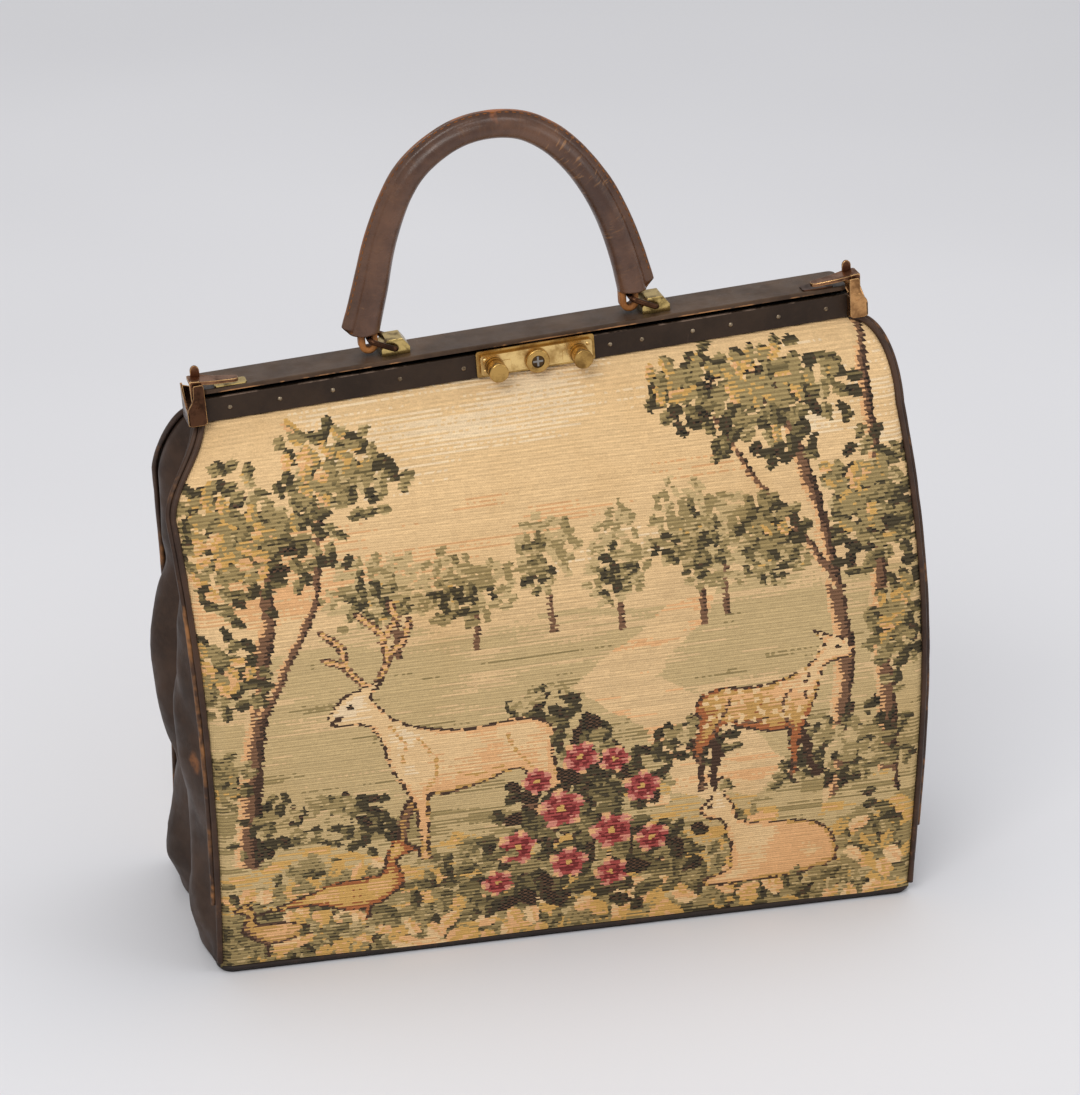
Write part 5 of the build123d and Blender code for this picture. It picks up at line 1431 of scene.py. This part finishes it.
def handle_frame(distance):
    """Middle line of the handle at a distance from its left end: place and outward direction, in the frame's
    plane."""
    within = min(max(distance, 0.0), handle_length)
    place = np.array([np.interp(within, handle_runs, handle_line[:, k]) for k in (0, 1)])
    run = np.array([np.interp(within, handle_runs, handle_tangents[:, k]) for k in (0, 1)])
    run /= np.linalg.norm(run)
    return place + run * (distance - within), np.array([-run[1], run[0]])


def handle_place(distance, out, across):
    """A place around the handle, in the shared frame."""
    middle, outward = handle_frame(distance)
    u, w = middle + out * outward
    return frame_point(handle_middle + u, across, ring_height + w)


def sleeve_section(radius, fin_height):
    """Outline of the sleeve cut across: out from the handle's middle, and across it."""
    half_turn = asin((WELT_FIN_HALF + WELT_FIN_FILLET) / radius)
    turns = np.linspace(half_turn, 2 * pi - half_turn, SLEEVE_SECTION - FIN_POINTS)
    rounded = [(radius * cos(turn), radius * sin(turn)) for turn in turns]
    tip = radius + fin_height
    face = [(radius + out, WELT_FIN_HALF - inset) for out, inset in FIN_FOOT]
    face += [(tip - down, WELT_FIN_HALF - inset) for down, inset in FIN_TIP]
    return np.array(rounded + [(out, -across) for out, across in face] + face[::-1])


def sleeve_size(distance):
    """Radius of the sleeve and height of its welt, both larger towards the ends."""
    from_end = min(distance, handle_length - distance)
    taper = (1 - 2 * max(0.0, from_end) / handle_length) ** SLEEVE_TAPER_POWER
    radius = SLEEVE_RADIUS + (SLEEVE_END_RADIUS - SLEEVE_RADIUS) * taper
    return radius, WELT_FIN_HEIGHT + (WELT_FIN_END_HEIGHT - WELT_FIN_HEIGHT) * taper


def end_distance(out, radius, last=False):
    """Where the level cut of an end meets a line that lies out from the middle line, from that end."""
    _, outward = handle_frame(handle_length if last else 0.0)
    level = (SLEEVE_END_RISE - out * outward[1]) / abs(outward[0])
    return level + WELT_FIN_SLANT * max(0.0, out - radius) / WELT_FIN_END_HEIGHT


def sleeve_distance(nominal, start):
    """Distance along the handle of a line of the sleeve that begins a start inside the handle's ends."""
    if nominal < leg_length:
        return start + (leg_length - start) * nominal / leg_length
    if nominal > handle_length - leg_length:
        share = (handle_length - nominal) / leg_length
        return handle_length - (start + (leg_length - start) * share)
    return nominal


def sleeve_wear(distance, angle, on_rim):
    """Tan wear: a patch at the crown and the raw outer rim."""
    middle, reach = CROWN_WEAR_SHARES
    crown = np.exp(-(((distance / handle_length - middle) / reach) ** 2)) * max(0.0, cos(angle)) ** 0.5
    patchy = cloud(np.array(distance / CROWN_WEAR_LENGTH), np.array(angle * CROWN_WEAR_AROUND), 12)
    crown *= 0.6 + 0.5 * float(patchy)
    rim = 0.0
    if on_rim:
        rim = 0.35 + 0.5 * float(clouds(np.array(distance / RIM_WEAR_LENGTH), np.array(0.0), 19, 2))
    return float(0.8 * crown + rim)


def make_sleeve():
    """The rolled sleeve with its welt and the bores in its ends."""
    legs = np.linspace(0, 1, LEG_STEPS, endpoint=False) * leg_length
    crown = leg_length + np.linspace(0, 1, CROWN_STEPS, endpoint=False) * crown_length
    last_leg = handle_length - leg_length + np.linspace(0, 1, LEG_STEPS + 1) * leg_length
    stations = np.concatenate([legs, crown, last_leg])
    points = []
    wear = []
    along = []
    around = []
    for nominal in stations:
        radius, fin_height = sleeve_size(nominal)
        for out, across in sleeve_section(radius, fin_height):
            distance = sleeve_distance(nominal, end_distance(out, radius, nominal > leg_length))
            angle = atan2(across, out)
            noise = clouds(np.array(distance / DENT_LENGTH), np.array(angle * DENTS_AROUND), 5, 3)
            scale = 1 + SLEEVE_DENT * (float(noise) - 0.5) / radius
            points.append(handle_place(distance, out * scale, across * scale))
            wear.append(sleeve_wear(distance, angle, out > radius + fin_height - RIM_WIDTH))
            along.append(distance * MM)
            around.append(out * MM)
    columns = SLEEVE_SECTION
    faces = grid_faces(len(stations), columns, closed=True)
    kinds = [0] * len(faces)
    bore = SLEEVE_END_RADIUS - SLEEVE_WALL
    for last in (False, True):
        near = handle_length if last else 0.0
        inward = -1 if last else 1
        first_point = (len(stations) - 1) * columns if last else 0
        loops = [[first_point + k for k in range(columns)]]
        for depth in (0.0, BORE_DEPTH):
            loops.append([len(points) + k for k in range(columns)])
            for k in range(columns):
                turn = pi / columns + 2 * pi * k / columns
                out = bore * cos(turn)
                distance = near + inward * (end_distance(out, SLEEVE_END_RADIUS, last) + depth)
                points.append(handle_place(distance, out, bore * sin(turn)))
            wear += [0.0] * columns
            along += [near * MM] * columns
            around += [0.0] * columns
        ends = []
        for a, b in zip(loops, loops[1:]):
            for k in range(columns):
                after = (k + 1) % columns
                ends.append((a[k], a[after], b[after], b[k]))
        ends.append(tuple(loops[-1]))
        faces += [face if last else face[::-1] for face in ends]
        kinds += [1] * len(ends)
    finishes = [handle_leather, leathers["raw_leather"]]
    piece = mesh_piece("rolled_handle", points, faces, "handle", finishes, kinds)
    point_layer(piece, wear)
    point_layer(piece, along, "along")
    point_layer(piece, around, "around")
    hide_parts("handle_sleeve", "handle_core")


def make_stitches():
    """The row of thread along both faces of the handle's welt."""
    points = []
    faces = []
    count = int((handle_length - 2 * WELT_FIN_SLANT - STITCH_MARGIN) / STITCH_PITCH)
    first = (handle_length - count * STITCH_PITCH) / 2
    radii = [STITCH_RADIUS * share for share in STITCH_WIDTH_SHARES]
    for face_side in (-1, 1):
        for k in range(count):
            middle = first + (k + 0.5) * STITCH_PITCH
            out = sum(sleeve_size(middle)) - STITCH_INSET
            path = []
            for share, sunk in STITCH_BENDS:
                across = face_side * (WELT_FIN_HALF - STITCH_SUNK - sunk)
                path.append(handle_place(middle + share * STITCH_LENGTH, out, across))
            add_tube(points, faces, np.array(path), radii, STITCH_SIDES)
    mesh_piece("handle_stitches", points, faces, "handle", [thread])


def make_tab(name):
    """A raw leather strap looped round a ring's bar, its two ends inside the sleeve."""
    x = SIDES[name] * MOUNT_SPACING / 2 + handle_middle
    low = TAB_HALF_LENGTH - TAB_DROP
    right = [*TAB_STRAP, (TAB_HALF_LENGTH, low)]
    for turn in np.linspace(TAB_BEND_START, pi / 2, TAB_BEND_STEPS):
        right.append((TAB_HALF_LENGTH * cos(turn), low - TAB_HALF_LENGTH * sin(turn)))
    left = [(-u, w) for u, w in reversed(right[:-1])]
    line = smooth_line(right + left, TAB_LINE_STEPS)
    run = directions(line)
    half = TAB_WIDTH / 2
    quarter = [(-1, half - TAB_SOFT), (-1 + TAB_SOFT, half), (1 - TAB_SOFT, half), (1, half - TAB_SOFT)]
    section = [(-1, TAB_SOFT - half), *quarter] + [(share, -v) for share, v in reversed(quarter[1:])]
    points = []
    for point, out in zip(line, np.stack([run[:, 1], -run[:, 0]], axis=1)):
        for across_share, v in section:
            u, w = point + out * across_share * TAB_STRAP_HALF
            points.append(frame_point(x + u, v, ring_height + w))
    columns = len(section)
    faces = grid_faces(len(line), columns, closed=True)
    faces.append(tuple(range(columns))[::-1])
    faces.append(tuple((len(line) - 1) * columns + k for k in range(columns)))
    finishes = [leathers["raw_leather"]]
    piece = mesh_piece(f"{name}_leather_loop", points, faces, "handle", finishes)
    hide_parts(f"{name}_handle_tab")


make_sleeve()
make_stitches()
for name in SIDES:
    make_tab(name)

# Latches: folded metal with rounded edges, finished brighter as rubbed metal and a painted highlight.
# Outlines are along the frame and up, or from front to back and up.
HALF_STRIP = 185.0
BRACKET_FRONT = -20.2
BRACKET_WALL = 1.2
BRACKET_OUTER = 195.5
BRACKET_BACK = -1.0
BRACKET_FRONT_OUTLINE = (
    (185.0, 3.0), (185.6, 1.8), (187.0, 1.3), (193.6, 1.3), (195.0, 1.8), (195.5, 3.0), (195.5, 9.6),
    (195.0, 11.6), (192.7, 15.0), (191.4, 18.0), (191.0, 24.2), (190.4, 25.0), (186.0, 25.0), (185.2, 24.4),
    (185.0, 22.0),
)
BRACKET_END_OUTLINE = (
    (-20.2, 2.0), (-1.0, 0.4), (-1.0, 20.6), (-1.6, 21.0), (-2.6, 20.4), (-6.4, 16.6), (-11.0, 13.6),
    (-15.0, 11.4), (-20.2, 10.0),
)
BRACKET_REAR_OUTLINE = ((186.0, 0.4), (195.4, 0.4), (195.4, 20.0), (191.0, 18.4), (186.0, 17.4))
BRACKET_TAB_OUTLINE = ((-12.2, 0.4), (-1.2, 0.4), (-1.2, 17.4), (-12.2, 14.6))
BRACKET_FLANGE_OUTLINE = ((-20.0, 2.4), (-13.8, 0.6), (-13.8, 13.8), (-20.0, 13.8))
BRACKET_BEVEL = 0.32
BEVEL_SEGMENTS = 2
BEVEL_PROFILE_SHARE = 0.6
SHARP_TURN = 0.6
LEVER_BLADE = (
    (186.8, 13.0), (187.6, 11.9), (189.5, 11.2), (191.4, 11.9), (192.2, 13.0), (192.4, 25.6), (191.4, 26.6),
    (186.8, 26.2),
)
LEVER_BLADE_BACK = -15.5
LEVER_THICKNESS = 2.0
LEVER_ARM = (  # seen from above: along the frame, from front to back
    (192.4, -17.3), (186.0, -17.5), (178.0, -16.4), (167.0, -14.6), (165.2, -13.6), (164.6, -12.0),
    (164.8, -9.8), (166.0, -8.6), (178.0, -7.6), (186.0, -6.6), (191.6, -6.5), (192.4, -7.4),
)
LEVER_LOW = ((164.5, 172.0, 180.0, 187.0, 192.5), (21.4, 21.9, 23.1, 24.3, 24.5))  # along and up
THUMB_OUTLINE = (
    (184.9, 24.4), (190.1, 24.4), (190.1, 29.4), (189.6, 30.8), (188.5, 31.8), (187.5, 32.0), (186.5, 31.8),
    (185.4, 30.8), (184.9, 29.4),
)
THUMB_RANGE = (-8.2, -6.6)

# Thin plates that slide with the lock's knobs and cover their slots, a cross in the keyhole, and leather ends
# folded down from the top plate
LOCK_MIDDLE = 2.0
LOCK_FACE = -17.4
LOCK_RISE = 6.6
PLUG_FACE = -19.8
SLIDE_OUTLINE = (
    (14.8, 4.1), (15.4, 3.5), (27.8, 3.5), (28.4, 4.1), (28.4, 9.1), (27.8, 9.7), (15.4, 9.7), (14.8, 9.1),
)
SLIDE_RANGE = (0.03, 0.36)
SLIDE_BEVEL = 0.12
CROSS_HALF = 2.9
CROSS_BAR_SHARE = 0.2
CROSS_RANGE = (-0.3, 0.2)
PLATE_END_OUTLINE = ((0.3, 1.0), (12.0, 1.0), (12.0, 16.4), (0.3, 16.4))
PLATE_END_RANGE = (184.2, 185.2)


def from_front(side):
    """Places for outlines seen from the front: along, up and depth."""
    return lambda u, w, v: frame_point(side * u, v, w)


def from_end(side):
    """Places for outlines seen from an end: depth, up and along."""
    return lambda v, w, u: frame_point(side * u, v, w)


def on_lever(side):
    """Places for the lever's arm: along, depth and how high above its underside."""
    return lambda u, v, lift: frame_point(side * u, v, np.interp(u, *LEVER_LOW) + lift)


def on_lock(side, face, rise=0.0):
    """Places on a face of the lock: along from its middle, up and out."""
    return lambda u, w, out: frame_point(LOCK_MIDDLE + side * u, face - out, rise + w)


def prism(shape, outline, place, low, high):
    """Adds a closed block to a mesh: an outline swept from low to high. place turns the outline's two
    numbers and the third into a point."""
    rings = []
    for level in (low, high):
        rings.append([shape.verts.new(Vector(place(a, b, level)) * MM) for a, b in outline])
    shape.faces.new(rings[0])
    shape.faces.new(rings[1][::-1])
    for k in range(len(outline)):
        after = (k + 1) % len(outline)
        shape.faces.new((rings[0][after], rings[0][k], rings[1][k], rings[1][after]))


def block_piece(name, blocks, body, bevel, finishes):
    """A piece of swept outlines. Sharp edges are rounded and get the second finish."""
    shape = bmesh.new()
    for block in blocks:
        prism(shape, *block)
    bmesh.ops.recalc_face_normals(shape, faces=shape.faces)
    sharp = [edge for edge in shape.edges if edge.calc_face_angle(0.0) > SHARP_TURN]
    made = bmesh.ops.bevel(
        shape,
        geom=sharp,
        offset=bevel * MM,
        segments=BEVEL_SEGMENTS,
        profile=BEVEL_PROFILE_SHARE,
        affect="EDGES",
        clamp_overlap=True,
    )
    for face in shape.faces:
        face.smooth = False
    for face in made["faces"]:
        face.material_index = 1
        face.smooth = True
    mesh = bpy.data.meshes.new(name)
    shape.to_mesh(mesh)
    shape.free()
    for material in finishes:
        mesh.materials.append(material)
    piece = add_object(name, mesh)
    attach(piece, body)
    return piece


def make_bracket(name):
    front = from_front(SIDES[name])
    end = from_end(SIDES[name])
    blocks = (
        (BRACKET_FRONT_OUTLINE, front, BRACKET_FRONT, BRACKET_FRONT + BRACKET_WALL),
        (BRACKET_REAR_OUTLINE, front, BRACKET_BACK - BRACKET_WALL, BRACKET_BACK),
        (BRACKET_END_OUTLINE, end, BRACKET_OUTER - BRACKET_WALL, BRACKET_OUTER),
        (BRACKET_TAB_OUTLINE, end, HALF_JAW, HALF_JAW + BRACKET_WALL),
        (BRACKET_FLANGE_OUTLINE, end, HALF_STRIP, HALF_STRIP + BRACKET_WALL),
    )
    finishes = (LATCH_BRONZE[name], metals["bronze_edge_wear_and_highlight"])
    piece = block_piece(f"{name}_latch_pocket", blocks, "front_jaw", BRACKET_BEVEL, finishes)
    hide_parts(f"{name}_latch_bracket")


def make_lever(name):
    front = from_front(SIDES[name])
    blocks = (
        (LEVER_BLADE, front, LEVER_BLADE_BACK - LEVER_THICKNESS, LEVER_BLADE_BACK),
        (LEVER_ARM, on_lever(SIDES[name]), 0.0, LEVER_THICKNESS),
        (THUMB_OUTLINE, front, *THUMB_RANGE),
    )
    finishes = (metals["lever_bronze"], metals["bronze_edge_wear_and_highlight"])
    piece = block_piece(f"{name}_latch_arm", blocks, f"{name}_latch", BRACKET_BEVEL, finishes)
    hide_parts(f"{name}_latch_lever")


def make_slide(name):
    blocks = [(SLIDE_OUTLINE, on_lock(SIDES[name], LOCK_FACE), *SLIDE_RANGE)]
    finishes = [metals["lock_brass"]] * 2
    block_piece(f"{name}_slide_plate", blocks, f"{name}_slide", SLIDE_BEVEL, finishes)


def make_plate_end(name):
    blocks = [(PLATE_END_OUTLINE, from_end(SIDES[name]), *PLATE_END_RANGE)]
    finishes = [leathers["base_leather"]] * 2
    block_piece(f"{name}_plate_end", blocks, "bag", SLIDE_BEVEL, finishes)


def make_key_cross():
    """The bright cross in the keyhole plug, one corner turned four times."""
    bar = CROSS_BAR_SHARE * CROSS_HALF
    corner = [(CROSS_HALF, bar), (bar, bar), (bar, CROSS_HALF)]
    outline = []
    for _ in range(4):
        outline += corner
        corner = [(-w, u) for u, w in corner]
    blocks = [(outline, on_lock(1, PLUG_FACE, LOCK_RISE), *CROSS_RANGE)]
    block_piece("key_cross", blocks, "key", SLIDE_BEVEL, [bare_steel] * 2)


for name in SIDES:
    make_bracket(name)
    make_lever(name)
for name in SIDES:
    make_slide(name)
    make_plate_end(name)
make_key_cross()

# Finishes of the solids that stay as they are
FINISHES = {
    leathers["base_leather"]: ("base_panel",),
    lining: ("base_board", "front_board", "back_board"),
    leathers["strip_leather"]: ("front_strip", "rear_strip"),
    leathers["plate_leather"]: ("top_plate",),
    black_steel: ("front_jaw_rail", "rear_jaw_rail"),
    bare_steel: (
        "left_hinge_pin", "right_hinge_pin", "left_lock_bolt", "right_lock_bolt", "lock_case", "hasp_tongue",
    ),
    metals["dark_brass"]: ("key_plug",),
    metals["lock_brass"]: ("lock_cover_plate", "lock_rivets"),
    # The lock's base plate is the same brass as its cover; it takes the darker knob brass as painted shade.
    metals["knob_brass"]: ("left_lock_knob", "right_lock_knob", "key_ring", "lock_base_plate"),
    metals["mount_brass"]: ("left_handle_mount", "right_handle_mount", "left_keeper_plate"),
    metals["bronze"]: ("left_latch_pin", "left_handle_ring", "right_handle_ring", "right_keeper_plate"),
    # The right latch pin takes the lighter bronze copy as painted light.
    metals["lit_bronze"]: ("right_latch_pin",),
    metals["nail_metal"]: ("front_nails", "rear_nails"),
}
for material, nodes in FINISHES.items():
    for node in nodes:
        node_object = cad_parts[node]
        node_object.data.materials.clear()
        node_object.data.materials.append(material)

# Floor, light and camera, in metres
FLOOR_HALF = 9.0
CAMERA_YAW = radians(14.92)
CAMERA_PITCH = radians(24.27)
CAMERA_ROLL = radians(0.97)
CAMERA_DISTANCE = 2.0765
CAMERA_TARGET = Vector((-0.00537, 0.0, 0.21572))
CAMERA_REACH = 50.0
IMAGE_HEIGHT = 1095.0
FOCAL_PIXELS = 3609.9
SKY_STRENGTH = 0.62
LIGHTS = {  # place, target, size, power and tint
    "key": ((-1.3, -1.9, 2.4), (0.0, 0.0, 0.2), (1.6, 1.2), 34.0, (1.0, 0.98, 0.95)),
    "fill": ((2.2, -1.4, 1.6), (0.0, 0.0, 0.2), (1.4, 1.4), 10.0, (0.96, 0.98, 1.0)),
    "top": ((0.2, 0.6, 2.6), (0.0, 0.0, 0.3), (1.8, 1.2), 14.0, (1, 1, 1)),
}


def make_floor():
    corners = [(x * FLOOR_HALF, y * FLOOR_HALF, 0) for x, y in ((-1, -1), (1, -1), (1, 1), (-1, 1))]
    mesh = bpy.data.meshes.new("floor")
    mesh.from_pydata(corners, [], [(0, 1, 2, 3)])
    f = Finish("floor_paper", Specular_IOR_Level=0.1)
    tone = f.span(f.noise(1.2, detail=2.0), 0.2, 0.8)
    mesh.materials.append(f.end(f.mix(tone, rgb(221, 221, 225), rgb(227, 227, 231)), 0.9))
    add_object("floor", mesh)


def area_light(name, place, target, size, power, tint):
    light = bpy.data.lights.new(name, "AREA")
    light.shape = "RECTANGLE"
    light.size, light.size_y = size
    light.energy = power
    light.color = tint
    lamp = add_object(name, light)
    lamp.location = place
    lamp.rotation_euler = (Vector(target) - Vector(place)).to_track_quat("-Z", "Y").to_euler()


def make_camera():
    """The photo's view: turned, tipped and rolled about its target."""
    level = cos(CAMERA_PITCH)
    back = Vector((-sin(CAMERA_YAW) * level, -cos(CAMERA_YAW) * level, sin(CAMERA_PITCH)))
    right = (-back).cross(Vector((0, 0, 1))).normalized()
    up = right.cross(-back)
    turned_right = right * cos(CAMERA_ROLL) + up * sin(CAMERA_ROLL)
    turned_up = up * cos(CAMERA_ROLL) - right * sin(CAMERA_ROLL)
    view = Matrix((turned_right, turned_up, back)).transposed().to_4x4()
    view.translation = CAMERA_TARGET + back * CAMERA_DISTANCE
    data = bpy.data.cameras.new("photo_view")
    data.sensor_fit = "AUTO"
    data.lens = FOCAL_PIXELS / IMAGE_HEIGHT * data.sensor_width
    data.clip_end = CAMERA_REACH
    camera = add_object("photo_view", data)
    camera.matrix_world = view
    bpy.context.scene.camera = camera


def make_sky():
    world = bpy.data.worlds.new("studio")
    world.use_nodes = True
    sky = world.node_tree.nodes["Background"]
    sky.inputs["Color"].default_value = WHITE
    sky.inputs["Strength"].default_value = SKY_STRENGTH
    bpy.context.scene.world = world


make_floor()
make_camera()
make_sky()
for name, values in LIGHTS.items():
    area_light(name, *values)
bpy.context.scene.view_settings.view_transform = "Standard"
